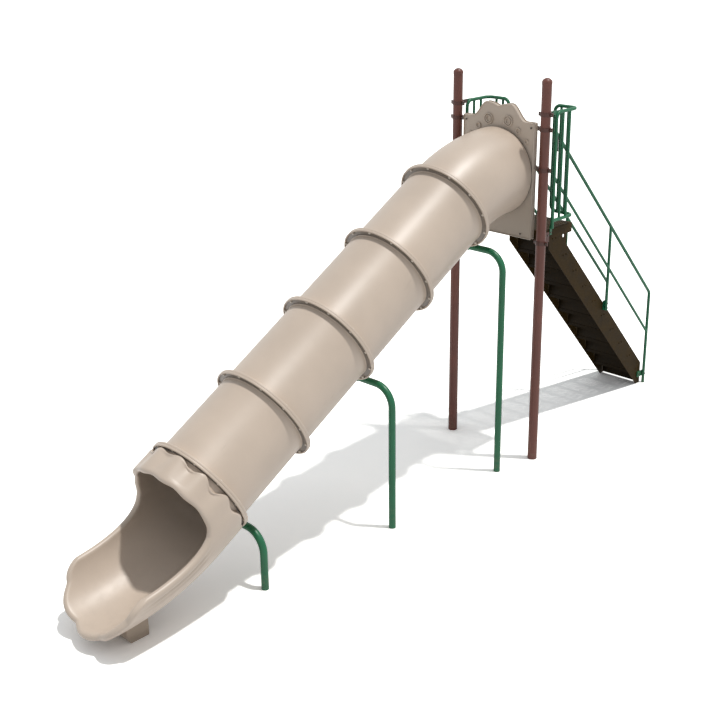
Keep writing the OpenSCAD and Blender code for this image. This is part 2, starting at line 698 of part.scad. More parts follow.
// Foot block, its top hollowed to the underside of the trough
module exit_foot() {
    front = lip_y + foot_back;
    color("#b3a48f") difference() {
        translate([-foot_w / 2, 0, 0]) rotate([90, 0, 90]) linear_extrude(foot_w)
            polygon([[front + foot_slant, 0], [front + foot_len, 0], [front + foot_len, flat_z - tube_r * 0.7],
                [front, flat_z - tube_r * 0.7], [front, foot_slant * 2]]);
        translate([0, bend_cy, bend_cz]) rotate([0, 90, 0])
            rotate_extrude(angle = 40, start = -10, $fn = round_fn * 4)
                translate([exit_bend_r, 0]) circle(r = exit_out + fit, $fn = round_fn);
    }
}

// SUPPORT LEGS
saddle_r = leg_r + clamp_wall;
arm_u = -saddle_t - leg_r;

function arm_at(k) = let (s = joint_at[k] - flange_w + arm_u, n = -(tube_r + leg_drop))
    [elbow_y + s * down_y + n * up_y, elbow_z + s * down_z + n * up_z];

module support_leg(k, reach) {
    q = arm_at(k);
    color("#1e6446") pipe([[reach, q[0], 0], [reach, q[0], q[1]], [-saddle_w / 2 - 4, q[0], q[1]]], leg_r, leg_bend);
}

// Collar on the leg's arm with a plate up the flange's upper face
module leg_saddle(k) {
    drop = tube_r + leg_drop;
    top = joint_pitch_r - 14;
    color("#1e6446") on_slope(joint_at[k] - flange_w) difference() {
        union() {
            translate([-saddle_w / 2, -drop, arm_u]) rotate([0, 90, 0]) cylinder(r = saddle_r, h = saddle_w);
            translate([-saddle_w / 2, -drop, -saddle_t]) cube([saddle_w, drop - top, saddle_t]);
        }
        translate([-saddle_w, -drop, arm_u]) rotate([0, 90, 0]) cylinder(r = leg_r + fit / 2, h = 2 * saddle_w);
        translate([0, -joint_pitch_r, -saddle_t - 1]) cylinder(r = hole_r, h = saddle_t + 2);
        translate([-saddle_w, -drop - saddle_r - 1, 0]) cube([2 * saddle_w, 2 * saddle_r, saddle_r]);
    }
}

// DECK
tongue_gap = 2;
tongue_y = panel_back + tongue_gap;

module deck_platform() {
    low = deck_h - deck_skirt;
    outline = [[-deck_half_w, deck_start], [-tongue_half_w, deck_start], [-tongue_half_w, tongue_y],
        [tongue_half_w, tongue_y], [tongue_half_w, deck_start], [deck_half_w, deck_start],
        [deck_half_w, deck_back], [-deck_half_w, deck_back]];
    w = deck_half_w - plate_t;
    v = tongue_half_w - plate_t;
    room = [[-w, deck_start + plate_t], [-v, deck_start + plate_t], [-v, tongue_y + plate_t],
        [v, tongue_y + plate_t], [v, deck_start + plate_t], [w, deck_start + plate_t],
        [w, deck_back - plate_t], [-w, deck_back - plate_t]];
    color("#3a2d22") difference() {
        translate([0, 0, low]) linear_extrude(deck_skirt) polygon(outline);
        translate([0, 0, low - 1]) linear_extrude(deck_skirt - plate_t + 1) polygon(room);
        both_sides() {
            for (y = deck_tab_y) translate([w - 1, y, deck_bolt_z + 10]) rotate([0, 90, 0])
                cylinder(r = hole_r, h = plate_t + 2);
            translate([w - 1, guard_front, guard_tab_z]) rotate([0, 90, 0]) cylinder(r = hole_r, h = plate_t + 2);
            translate([deck_panel_bolt_x, tongue_y + plate_t + 1, deck_panel_bolt_z]) rotate([90, 0, 0])
                cylinder(r = hole_r, h = plate_t + 2);
            for (z = head_bolt_z) translate([head_bolt_x, deck_back + 1, z]) rotate([90, 0, 0])
                cylinder(r = hole_r, h = plate_t + 2);
        }
    }
}

module deck_bolts() {
    color("#4d4a48") both_sides() for (y = deck_tab_y)
        translate([deck_half_w + fit + clamp_wall, y, deck_bolt_z + 10]) rotate([0, 90, 0])
            bolt(clamp_wall + fit + plate_t);
}

// STAIRS
head_top = deck_h - head_drop;
head_flange_w = 60;
head_bolt_x = stair_half_w - head_flange_w / 2 - 3;
head_bolt_z = [deck_h - 28, deck_h - 62];

// Height of the stringer's upper edge at a distance behind the posts
function stringer_top(y) = tread_z(1) + stringer_over + (tread_y(1) - y) * pitch_tan;

module stair_stringer(side) {
    drop = stringer_w / cos(pitch_deg);
    up = stringer_top(0);
    back = head_y + head_len;
    toe = (up - drop) / pitch_tan;
    profile = [[head_y, up - drop - head_y * pitch_tan], [head_y, head_top], [back, head_top],
        [back, up - back * pitch_tan], [stringer_back, up - stringer_back * pitch_tan],
        [stringer_back, 0], [toe, 0]];
    s = mirror_sign(side);
    color("#3a2d1e") scale_x(s) difference() {
        union() {
            translate([stair_half_w - stringer_t, 0, 0]) rotate([90, 0, 90]) linear_extrude(stringer_t)
                polygon(profile);
            // Turned flange that bolts to the deck's rear skirt
            translate([stair_half_w - head_flange_w, deck_back + fit, head_top - 100])
                cube([head_flange_w, plate_t, deck_h - 8 - head_top + 100]);
            translate([stair_half_w - stringer_t, deck_back + fit, head_top - 100]) cube([stringer_t, 20, 100]);
        }
        for (z = head_bolt_z) translate([head_bolt_x, deck_back + plate_t + 2, z]) rotate([90, 0, 0])
            cylinder(r = hole_r, h = plate_t + 3);
        // See-through slot and two small holes in the head
        translate([stair_half_w - stringer_t - 1, back - 55, head_top - 110]) rotate([0, 90, 0]) {
            for (e = [-1, 1]) translate([e * (head_slot / 2 - 14), 0, 0]) cylinder(r = 14, h = stringer_t + 2);
            translate([-(head_slot / 2 - 14), -14, 0]) cube([head_slot - 28, 28, stringer_t + 2]);
        }
        for (y = [60, 110]) translate([stair_half_w - stringer_t - 1, head_y + y, head_top - 35]) rotate([0, 90, 0])
            cylinder(r = hole_r, h = stringer_t + 2);
        for (k = [1:tread_count]) for (d = tread_bolt_y)
            translate([stair_half_w - stringer_t - 1, tread_y(k) + d, tread_z(k) - tread_bolt_z])
                rotate([0, 90, 0]) cylinder(r = hole_r, h = stringer_t + 2);
        for (q = bracket_bolts) translate([stair_half_w - stringer_t - 1, q[0], q[1]]) rotate([0, 90, 0])
            cylinder(r = hole_r, h = stringer_t + 2);
    }
}

module scale_x(s) {
    if (s > 0) children();
    else mirror([1, 0, 0]) children();
}

tread_bolt_y = [20, 70];
tread_bolt_z = 20;
tread_half_w = stair_half_w - stringer_t - fit;

// Tread: a plate with a lip turned down at the front, the back and both ends
module tread(k) {
    color("#3a2d1e") translate([0, tread_y(k), tread_z(k)]) difference() {
        translate([-tread_half_w, -tread_depth / 2, -tread_lip]) cube([2 * tread_half_w, tread_depth, tread_lip]);
        translate([-tread_half_w + plate_t, -tread_depth / 2 + plate_t, -tread_lip - 1])
            cube([2 * (tread_half_w - plate_t), tread_depth - 2 * plate_t, tread_lip - plate_t + 1]);
        for (s = [-1, 1]) for (d = tread_bolt_y)
            translate([s * (tread_half_w - plate_t / 2) - plate_t, d, -tread_bolt_z])
                rotate([0, 90, 0]) cylinder(r = hole_r, h = 2 * plate_t);
    }
}

module tread_bolts() {
    color("#4d4a48") both_sides() for (k = [1:tread_count]) for (d = tread_bolt_y)
        translate([stair_half_w, tread_y(k) + d, tread_z(k) - tread_bolt_z]) rotate([0, 90, 0])
            bolt(stringer_t + fit + plate_t);
}

// Upright plates that close the stairs between each tread and the next, and below the first tread
module stair_risers() {
    w = tread_half_w - plate_t - fit;
    color("#3a2d1e") for (k = [0:tread_count]) {
        low = k == 0 ? kick_gap : tread_z(k) + fit;
        translate([-w, tread_y(k) - tread_depth / 2, low])
            cube([2 * w, plate_t, tread_z(k + 1) - plate_t - fit - low]);
    }
}

module stair_head_bolts() {
    color("#4d4a48") both_sides() for (z = head_bolt_z)
        translate([head_bolt_x, deck_back + fit + plate_t, z]) rotate([-90, 0, 0]) bolt(fit + 2 * plate_t);
}

// GUARDS
guard_tab_z = deck_h - 30;
guard_up = deck_h + guard_top;
guard_down = deck_h + guard_low;
lug_t = ear_t;
side_bars = [252, 354, 440];
return_bars = [410, 333];

module guard(side) {
    inner = guard_inner_x;
    loop = [[guard_x + rail_r + fit, guard_front, guard_tab_z + 40], [guard_x + rail_r + fit, guard_front, guard_up],
        [guard_x + rail_r + fit, guard_y, guard_up], [inner, guard_y, guard_up], [inner, guard_y, guard_down],
        [guard_x + rail_r + fit, guard_y, guard_down], [guard_x + rail_r + fit, guard_front, guard_down]];
    gx = guard_x + rail_r + fit;
    color("#1e6446") scale_x(mirror_sign(side)) difference() {
        union() {
            pipe(loop, rail_r, rail_bend);
            for (y = side_bars) if (y < guard_y - rail_bend + 2) bar([gx, y, guard_down], [gx, y, guard_up], bar_r);
            for (x = return_bars) bar([x, guard_y, guard_down], [x, guard_y, guard_up], bar_r);
            // Flattened foot on the deck's side skirt
            translate([guard_x + fit, guard_front - rail_r, guard_tab_z - 22]) cube([lug_t, 2 * rail_r, 90]);
            // Lug beside the post clamp's tab
            translate([post_x + tab_x + ear_t + fit, tab_bolt_y - 14, deck_h + guard_top - clamp_h / 2])
                cube([lug_t, guard_front + rail_bend - tab_bolt_y + 14, clamp_h]);
        }
        translate([guard_x - 1, guard_front, guard_tab_z]) rotate([0, 90, 0]) cylinder(r = hole_r, h = lug_t + 3);
        translate([post_x, tab_bolt_y, deck_h + guard_top]) rotate([0, 90, 0]) cylinder(r = hole_r, h = 40);
    }
}

module guard_bolts() {
    color("#4d4a48") both_sides() {
        translate([guard_x + fit + lug_t, guard_front, guard_tab_z]) rotate([0, 90, 0]) bolt(lug_t + fit + plate_t);
        translate([post_x + tab_x + ear_t + fit + lug_t, tab_bolt_y, deck_h + guard_top]) rotate([0, 90, 0])
            bolt(ear_t + fit + lug_t);
    }
}

// HANDRAILS
hand_slope = (deck_h + hand_top - hand_low) / (hand_y - hand_start);
mid_slope = (deck_h + hand_mid - hand_mid_low) / (hand_y - hand_start);
post_y = tread_y(hand_post_tread) + hand_post_back;
hand_post_z = tread_z(hand_post_tread) + hand_post_rise;
post_top = deck_h + hand_top - (post_y - hand_start) * hand_slope;
bracket_t = hand_x - mid_post_r - stair_half_w;
low_bracket_z = 108;
low_bolt_in = 42;
low_bracket_start = low_bolt_in + 22;
// Places of the bracket bolts on the stringers: middle post, then lower post
bracket_bolts = [[post_y, hand_post_z + 25], [post_y, hand_post_z + 75], [stringer_back - low_bolt_in, low_bracket_z]];

module handrail(side) {
    color("#1e6446") scale_x(mirror_sign(side)) difference() {
        union() {
            pipe([[hand_x, hand_start, deck_h + hand_top], [hand_x, hand_y, hand_low], [hand_x, hand_y, 0]],
                rail_r, rail_bend);
            bar([hand_x, hand_start, deck_h + hand_mid], [hand_x, hand_y, hand_mid_low], mid_rail_r);
            bar([hand_x, post_y, hand_post_z], [hand_x, post_y, post_top], mid_post_r);
        }
        for (k = [0, 1]) translate([stair_half_w, bracket_bolts[k][0], bracket_bolts[k][1]]) rotate([0, 90, 0])
            cylinder(r = hole_r, h = 100);
        translate([stair_half_w, hand_y, bracket_bolts[2][1]]) rotate([0, 90, 0]) cylinder(r = hole_r, h = 100);
    }
}

// Dark block between the guard's inner upright and the handrail
module handrail_connectors() {
    z0 = deck_h + hand_top - 65 - connector_h;
    color("#1c1c1c") both_sides() difference() {
        translate([hand_x - rail_r, guard_y + rail_r + fit, z0]) cube([2 * rail_r, 36, connector_h + 60]);
        bar([hand_x, hand_start - connector_h, deck_h + hand_top + connector_h * hand_slope],
            [hand_x, hand_start + 2 * connector_h, deck_h + hand_top - 2 * connector_h * hand_slope], rail_r + fit);
        translate([hand_x - 50, guard_y, deck_h + hand_top - 8])
            rotate([-atan(hand_slope), 0, 0]) cube([100, 2 * connector_h, 2 * connector_h]);
    }
}

module handrail_brackets() {
    color("#1e6446") both_sides() {
        difference() {
            translate([stair_half_w + fit, post_y - 20, hand_post_z]) cube([bracket_t - fit, 40, 100]);
            bar([hand_x, post_y, hand_post_z - 10], [hand_x, post_y, hand_post_z + 200], mid_post_r + fit);
            for (k = [0, 1]) translate([stair_half_w, bracket_bolts[k][0], bracket_bolts[k][1]]) rotate([0, 90, 0])
                cylinder(r = hole_r, h = 100);
        }
        difference() {
            translate([stair_half_w + fit, stringer_back - low_bracket_start, bracket_bolts[2][1] - 30])
                cube([hand_x - rail_r - stair_half_w + 1, hand_y - stringer_back + low_bracket_start + 12, 60]);
            bar([hand_x, hand_y, 0], [hand_x, hand_y, hand_low], rail_r + fit);
            for (y = [bracket_bolts[2][0], hand_y]) translate([stair_half_w - 1, y, bracket_bolts[2][1]])
                rotate([0, 90, 0]) cylinder(r = hole_r, h = 100);
        }
    }
}

module handrail_bolts() {
    color("#4d4a48") both_sides() {
        for (k = [0, 1]) translate([hand_x + mid_post_r - 0.5, bracket_bolts[k][0], bracket_bolts[k][1]])
            rotate([0, 90, 0]) bolt(hand_x + mid_post_r - 0.5 - stair_half_w + stringer_t);
        translate([hand_x - rail_r + 1 + fit, bracket_bolts[2][0], bracket_bolts[2][1]])
            rotate([0, 90, 0]) bolt(hand_x - rail_r + 1 + fit - stair_half_w + stringer_t);
        translate([hand_x + rail_r - 0.5, hand_y, bracket_bolts[2][1]]) rotate([0, 90, 0])
            bolt(hand_x + rail_r - 0.5 - stair_half_w - fit);
    }
}

place() post("left");  // post_left
place() post("right");  // post_right
place() post_cap("left");  // post_cap_left
place() post_cap("right");  // post_cap_right
place() guard_clamps();
place() panel_clamps_upper();
place() panel_clamps_middle();
place() deck_clamps();
place() clamp_bolts();
place() entrance_panel();
place() panel_bolts();
place() entrance_section();
place() entrance_bolts();
place() tube_section(1);  // tube_section_1
place() tube_section(2);  // tube_section_2
place() tube_section(3);  // tube_section_3
place() tube_section(4);  // tube_section_4
place() exit_section();
place() joint_bolts(0, true);  // joint_bolts_1
place() joint_bolts(1, false);  // joint_bolts_2
place() joint_bolts(2, true);  // joint_bolts_3
place() joint_bolts(3, false);  // joint_bolts_4
place() joint_bolts(4, true);  // joint_bolts_5
place() support_leg(0, leg_reach);  // support_leg_upper
place() support_leg(2, leg_reach);  // support_leg_middle
place() support_leg(4, leg_reach_low);  // support_leg_lower
place() leg_saddle(0);  // leg_saddle_upper
place() leg_saddle(2);  // leg_saddle_middle
place() leg_saddle(4);  // leg_saddle_lower
place() exit_foot();
place() deck_platform();
place() deck_bolts();
place() stair_stringer("left");  // stair_stringer_left
place() stair_stringer("right");  // stair_stringer_right
place() tread(1);  // tread_1
place() tread(2);  // tread_2
place() tread(3);  // tread_3
place() tread(4);  // tread_4
place() tread(5);  // tread_5
place() tread(6);  // tread_6
place() tread(7);  // tread_7
place() tread(8);  // tread_8
place() tread(9);  // tread_9
place() tread(10);  // tread_10
place() tread_bolts();
place() stair_risers();
place() stair_head_bolts();
place() guard("left");  // guard_left
place() guard("right");  // guard_right
place() guard_bolts();
place() handrail("left");  // handrail_left
place() handrail("right");  // handrail_right
place() handrail_connectors();
place() handrail_brackets();
place() handrail_bolts();
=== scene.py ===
import json
import math

import bmesh
import bpy
from bpy.props import FloatProperty, FloatVectorProperty, IntProperty, PointerProperty
from mathutils import Matrix, Vector

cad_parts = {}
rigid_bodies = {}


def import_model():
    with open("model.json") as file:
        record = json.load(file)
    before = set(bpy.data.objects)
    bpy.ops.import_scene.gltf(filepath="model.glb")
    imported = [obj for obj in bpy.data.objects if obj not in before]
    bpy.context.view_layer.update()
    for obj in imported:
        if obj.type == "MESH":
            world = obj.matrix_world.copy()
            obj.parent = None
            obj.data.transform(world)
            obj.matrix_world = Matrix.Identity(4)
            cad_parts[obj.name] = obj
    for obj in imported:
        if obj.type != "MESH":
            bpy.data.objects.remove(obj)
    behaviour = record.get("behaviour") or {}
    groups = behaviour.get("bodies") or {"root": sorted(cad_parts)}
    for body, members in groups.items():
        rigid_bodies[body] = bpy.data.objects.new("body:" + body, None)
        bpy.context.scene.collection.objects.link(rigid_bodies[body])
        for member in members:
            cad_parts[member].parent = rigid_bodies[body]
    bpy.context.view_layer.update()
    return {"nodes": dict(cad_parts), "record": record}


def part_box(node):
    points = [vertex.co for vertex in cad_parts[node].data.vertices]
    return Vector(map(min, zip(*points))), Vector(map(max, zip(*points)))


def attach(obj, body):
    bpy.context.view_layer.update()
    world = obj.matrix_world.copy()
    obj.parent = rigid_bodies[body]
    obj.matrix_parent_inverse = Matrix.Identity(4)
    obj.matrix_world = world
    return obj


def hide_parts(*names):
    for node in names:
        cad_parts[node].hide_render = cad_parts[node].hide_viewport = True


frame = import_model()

bl_info = {
    "name": "Tube Slide",
    "version": (1, 0, 0),
    "blender": (4, 5, 0),
    "location": "View3D > Sidebar > Tube Slide",
    "description": "Dresses the frame of a playground tube slide with its plastic, steel and fasteners",
    "category": "Add Mesh",
}

# Fixed places, in metres, from the same layout as the frame
POST_Y = sum(corner[1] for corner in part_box("post_left")) / 2
SLOPE = math.radians(30)
DOWN = Vector((0, -math.cos(SLOPE), -math.sin(SLOPE)))
UP = Vector((0, -math.sin(SLOPE), math.cos(SLOPE)))
PANEL_FRONT = 0.033
PANEL_THICK = 0.057
DECK_HEIGHT = 2.240
ENTRANCE_HEIGHT = 2.745
BEND_RADIUS = 1.426
PATH_START = Vector((0, POST_Y - PANEL_FRONT - BEND_RADIUS * math.sin(SLOPE),
                     ENTRANCE_HEIGHT - BEND_RADIUS * (1 - math.cos(SLOPE))))
# Distances of the five joints down the straight of the slide
JOINTS = [0.020, 0.858, 1.696, 2.534, 3.297]
JOINT_BOLTS = 12
BOLT_CIRCLE = 0.4322
SADDLE_PLATE = 0.008
SECTION_TILT = math.pi / 2 + SLOPE
# Steps of the stairs: their number, rise and depth
TREADS = 10
RISER = DECK_HEIGHT / (TREADS + 1)
GOING = 0.1876


def srgb(red, green, blue):
    """A colour given as it looks on screen, 0 to 255, as the linear values a shader takes."""
    return tuple(v / 255 / 12.92 if v < 10.3 else ((v / 255 + 0.055) / 1.055) ** 2.4
                 for v in (red, green, blue))


# PROPERTIES

class TubeSlideSizes(bpy.types.PropertyGroup):
    """Sizes that the dressed pieces take."""
    tube_radius: FloatProperty(
        name="Tube Radius", description="Outer radius of the slide tube", default=0.400, unit="LENGTH")
    tube_wall: FloatProperty(
        name="Tube Wall", description="Wall thickness of the slide tube", default=0.008, unit="LENGTH")
    ring_radius: FloatProperty(
        name="Ring Radius", description="Outer radius of a joint ring", default=0.457, unit="LENGTH")
    ring_width: FloatProperty(
        name="Ring Width", description="Width of one of the two rings of a joint",
        default=0.020, unit="LENGTH")
    ring_round: FloatProperty(
        name="Ring Rounding", description="Rounding of a ring's outer edge", default=0.0075, unit="LENGTH")
    ring_groove: FloatProperty(
        name="Ring Groove", description="Rounding that makes the groove between two rings",
        default=0.0030, unit="LENGTH")
    channel_inner: FloatProperty(
        name="Channel Inner Radius", description="Inner radius of the channel round the joint bolts' heads",
        default=0.4045, unit="LENGTH")
    channel_outer: FloatProperty(
        name="Channel Outer Radius", description="Outer radius of that channel",
        default=0.4425, unit="LENGTH")
    channel_depth: FloatProperty(
        name="Channel Depth", description="Depth of that channel", default=0.014, unit="LENGTH")
    segments: IntProperty(
        name="Segments", description="Faces round the tube", min=24, default=128)
    bolt_radius: FloatProperty(
        name="Bolt Radius", description="Shank radius of the bolts", default=0.005, unit="LENGTH")
    head_radius: FloatProperty(
        name="Head Radius", description="Radius of a bolt's head", default=0.009, unit="LENGTH")
    head_height: FloatProperty(
        name="Head Height", description="Height of a bolt's head", default=0.006, unit="LENGTH")
    hole_pitch: FloatProperty(
        name="Hole Pitch", description="Distance between holes in deck and treads",
        default=0.034, unit="LENGTH")
    hole_radius: FloatProperty(
        name="Hole Radius", description="Radius of the holes in deck and treads",
        default=0.0065, unit="LENGTH")
    bead_radius: FloatProperty(
        name="Bead Radius", description="Section radius of the raised rings on the panel",
        default=0.0055, unit="LENGTH")
    flute_depth: FloatProperty(
        name="Flute Depth", description="Depth of the flutes in the exit hood", default=0.028, unit="LENGTH")


class TubeSlideColours(bpy.types.PropertyGroup):
    """Colours of the finishes."""
    slide: FloatVectorProperty(
        name="Slide Plastic", description="Colour of the tube and exit",
        subtype="COLOR", size=3, min=0, max=1, default=srgb(205, 188, 171))
    panel: FloatVectorProperty(
        name="Panel Plastic", description="Colour of the entrance panel",
        subtype="COLOR", size=3, min=0, max=1, default=srgb(186, 173, 159))
    foot: FloatVectorProperty(
        name="Foot Plastic", description="Colour of the block under the lip",
        subtype="COLOR", size=3, min=0, max=1, default=srgb(174, 157, 139))
    brown: FloatVectorProperty(
        name="Brown Steel", description="Powder coat of posts and clamps",
        subtype="COLOR", size=3, min=0, max=1, default=srgb(109, 62, 51))
    green: FloatVectorProperty(
        name="Green Steel", description="Powder coat of legs, guards and handrails",
        subtype="COLOR", size=3, min=0, max=1, default=srgb(16, 105, 68))
    coated: FloatVectorProperty(
        name="Coated Steel", description="Vinyl coat of deck and stairs",
        subtype="COLOR", size=3, min=0, max=1, default=srgb(51, 37, 10))
    bolt: FloatVectorProperty(
        name="Dark Bolts", description="Colour of the dark bolts",
        subtype="COLOR", size=3, min=0, max=1, default=srgb(96, 91, 87))
    joint_bolt: FloatVectorProperty(
        name="Joint Bolts", description="Colour of the bolts in the joint rings",
        subtype="COLOR", size=3, min=0, max=1, default=srgb(226, 218, 206))


def sizes():
    return bpy.context.scene.tube_slide_sizes


def colours():
    return bpy.context.scene.tube_slide_colours


# NODE TREES

class Value:
    """A socket of a node tree, with the usual arithmetic."""

    def __init__(self, owner, socket):
        self.owner = owner
        self.socket = socket

    def __add__(self, other):
        return self.owner.maths("ADD", self, other)

    def __radd__(self, other):
        return self.owner.maths("ADD", other, self)

    def __sub__(self, other):
        return self.owner.maths("SUBTRACT", self, other)

    def __rsub__(self, other):
        return self.owner.maths("SUBTRACT", other, self)

    def __mul__(self, other):
        return self.owner.maths("MULTIPLY", self, other)

    def __rmul__(self, other):
        return self.owner.maths("MULTIPLY", other, self)

    def __truediv__(self, other):
        return self.owner.maths("DIVIDE", self, other)

    def __pow__(self, other):
        return self.owner.maths("POWER", self, other)

    def above(self, low, high):
        """0 below low, 1 above high, and smooth between."""
        return self.owner.node("MapRange", {"interpolation_type": "SMOOTHSTEP"},
                               {"Value": self, "From Min": low, "From Max": high})


class Nodes:
    """A node tree that is filled from the script."""

    def __init__(self, tree, prefix="ShaderNode"):
        self.tree = tree
        self.prefix = prefix
        tree.nodes.clear()

    def node(self, kind, settings=None, values=None, out=0):
        """Adds a node: its settings first, then the values or links of its sockets."""
        made = self.tree.nodes.new(kind if "Node" in kind else self.prefix + kind)
        for key, setting in (settings or {}).items():
            setattr(made, key, setting)
        for key, value in (values or {}).items():
            self.feed(made.inputs[key], value)
        return Value(self, made.outputs[out])

    def feed(self, socket, value):
        """Links a value to a socket, or sets it there; None leaves the socket as it is."""
        if isinstance(value, Value):
            self.tree.links.new(value.socket, socket)
        elif value is not None:
            socket.default_value = value

    def maths(self, operation, first, second=None):
        return self.node("ShaderNodeMath", {"operation": operation}, {0: first, 1: second})

    def ray(self, *kinds):
        """1 for the named kinds of ray and 0 for the others."""
        share = self.node("LightPath", out=f"Is {kinds[0]} Ray")
        for kind in kinds[1:]:
            share = self.maths("MAXIMUM", share, self.node("LightPath", out=f"Is {kind} Ray"))
        return share

    def output(self, shader, kind="Material"):
        self.feed(self.tree.nodes.new("ShaderNodeOutput" + kind).inputs["Surface"], shader)


# MATERIALS

class Finish(Nodes):
    """A procedural material."""

    def __init__(self, name):
        self.material = bpy.data.materials.new(name)
        self.material.use_nodes = True
        super().__init__(self.material.node_tree)
        self.place = self.node("TexCoord", out="Object")

    def noise(self, scale, detail=2.0, rough=0.5, where=None):
        return self.node("TexNoise", None, {"Vector": where or self.place, "Scale": scale, "Detail": detail,
                                            "Roughness": rough})

    def cells(self, scale):
        return self.node("TexVoronoi", {"feature": "F1"}, {"Vector": self.place, "Scale": scale})

    def along(self, start, direction):
        """Distance from a start point along a direction."""
        reach = self.node("VectorMath", {"operation": "DOT_PRODUCT"},
                          {0: self.place, 1: tuple(direction)}, out="Value")
        return reach - start.dot(direction)

    def height(self):
        return self.node("SeparateXYZ", None, {0: self.place}, out="Z")

    def stretched(self, x, y, z):
        return self.node("Mapping", None, {"Vector": self.place, "Scale": (x, y, z)})

    def blend(self, share, first, second):
        """Mixes two colours; numbers in a tuple are a plain colour."""
        def full(colour):
            return (*colour, 1) if isinstance(colour, tuple) and len(colour) == 3 else colour
        return self.node("Mix", {"data_type": "RGBA"}, {0: share, 6: full(first), 7: full(second)}, out=2)

    def bump(self, height, distance, strength=1.0, under=None):
        return self.node("Bump", None, {"Height": height, "Distance": distance, "Strength": strength,
                                        "Normal": under})

    def surface(self, colour, rough, normal=None, **plain):
        """The shader; plain holds values that are the same all over."""
        values = {"Base Color": colour, "Roughness": rough, "Normal": normal}
        values.update({key.replace("_", " "): value for key, value in plain.items()})
        self.output(self.node("BsdfPrincipled", None, values))
        return self.material


def band(value, low, high, soft=0.0015):
    """1 between two values and 0 outside them."""
    return value.above(low - soft, low + soft) * (1 - value.above(high - soft, high + soft))


def darker(colour, share):
    return tuple(v * share for v in colour)


# The painted shade inside the tube: its radius, how much more that is in the exit, and where it fades out
INSIDE_LIMIT, INSIDE_MORE = 0.396, 0.008
INSIDE_FADE = (JOINTS[4] + 0.10, JOINTS[4] + 0.62)


def slide_painted_shade(f, body, colour):
    """The slide: painted shade on its inside, in each joint's channel and where the entrance meets the panel.
    """
    down = f.along(PATH_START, DOWN)
    across, up = f.along(PATH_START, Vector((1, 0, 0))), f.along(PATH_START, UP)
    radius = (across * across + up * up) ** 0.5
    limit = down.above(JOINTS[4] - 0.001, JOINTS[4] + 0.001) * INSIDE_MORE + INSIDE_LIMIT
    inside = (limit - radius).above(-0.002, 0.002) * down.above(0.0, 0.02) * (1 - down.above(*INSIDE_FADE))
    # Painted shade: the inside of the tube is darker, fading out down the exit
    body = f.blend(inside * 0.60, body, darker(colour, 0.42))
    # Painted shade in each joint's recessed channel
    joints = sum(band(down, at + 0.003, at + 0.0205) for at in JOINTS)
    joints = joints * band(radius, sizes().channel_inner - 0.001, sizes().channel_outer)
    # Painted contact shadow where the entrance meets the panel
    panel = f.along(Vector((0, POST_Y - PANEL_FRONT, 0)), Vector((0, -1, 0)))
    return f.blend((joints + band(panel, 0.0, 0.012)) * 0.78, body, darker(colour, 0.20))


def panel_painted_light_and_shade(f, body, colour):
    """The upright panel: painted light and shade, paler towards its top and darker below."""
    fade = f.height().above(2.30, 3.10)
    # Painted skylight on the upper panel and painted shade on the lower
    return f.blend(0.80, body, f.blend(fade, darker(colour, 0.80), darker(colour, 1.22)))


def moulded_plastic(name, colour, rough, gloss, scuff, painted_light=None):
    """Rotationally moulded plastic: soft waviness, fine orange peel, faint clouding, dust and scuffs, and for
    some pieces painted light and shade on top.
    """
    f = Finish(name)
    clouds = f.noise(2.3, 3.0, 0.55)
    specks = f.noise(900.0, 1.0, 0.5)
    body = f.blend(clouds.above(0.3, 0.7), darker(colour, 0.955), darker(colour, 1.035))
    body = f.blend(specks.above(0.56, 0.72) * 0.35, body, darker(colour, 0.80))
    low = 1 - f.height().above(0.02, 0.55)
    dust = f.noise(14.0, 5.0, 0.65).above(0.42, 0.75)
    body = f.blend(low * dust * 0.22, body, darker(colour, 0.72))
    lines = f.noise(55.0, 3.0, 0.6, f.stretched(1.0, 0.06, 0.06)).above(0.60, 0.74)
    patch = f.noise(3.1, 2.0, 0.5).above(0.48, 0.66)
    marks = lines * patch
    body = f.blend(marks * scuff, body, darker(colour, 0.86))
    # Painted light and shade that some pieces take on top of their colour
    if painted_light:
        body = painted_light(f, body, colour)
    peel = f.cells(420.0)
    waves = f.noise(7.0, 1.5, 0.4)
    normal = f.bump(peel, 0.00035, 0.22, f.bump(waves, 0.006, 0.20))
    shine = rough + (clouds - 0.5) * 0.10 + marks * 0.16 + low * dust * 0.12
    return f.surface(body, shine, normal, Coat_Weight=gloss, Coat_Roughness=0.42, IOR=1.54)


def powder_coat(name, colour, rough):
    """Powder coat on steel: orange peel, slight fading, fine chips and a little dirt near the ground."""
    f = Finish(name)
    fade = f.noise(3.0, 3.0, 0.6)
    body = f.blend(fade.above(0.3, 0.72), darker(colour, 0.88), darker(colour, 1.10))
    grit = f.noise(700.0, 1.0, 0.5)
    body = f.blend(grit.above(0.60, 0.75) * 0.3, body, darker(colour, 0.72))
    dirt = (1 - f.height().above(0.01, 0.30)) * f.noise(24.0, 4.0, 0.65).above(0.40, 0.70)
    body = f.blend(dirt * 0.35, body, srgb(128, 116, 100))
    chips = f.noise(60.0, 3.0, 0.62).above(0.735, 0.76)
    body = f.blend(chips * 0.6, body, darker(colour, 0.55))
    peel = f.noise(520.0, 1.0, 0.4)
    normal = f.bump(peel, 0.0006, 0.30, f.bump(chips, 0.0003, 0.5))
    return f.surface(body, rough + (fade - 0.5) * 0.14 + dirt * 0.25, normal, IOR=1.5)


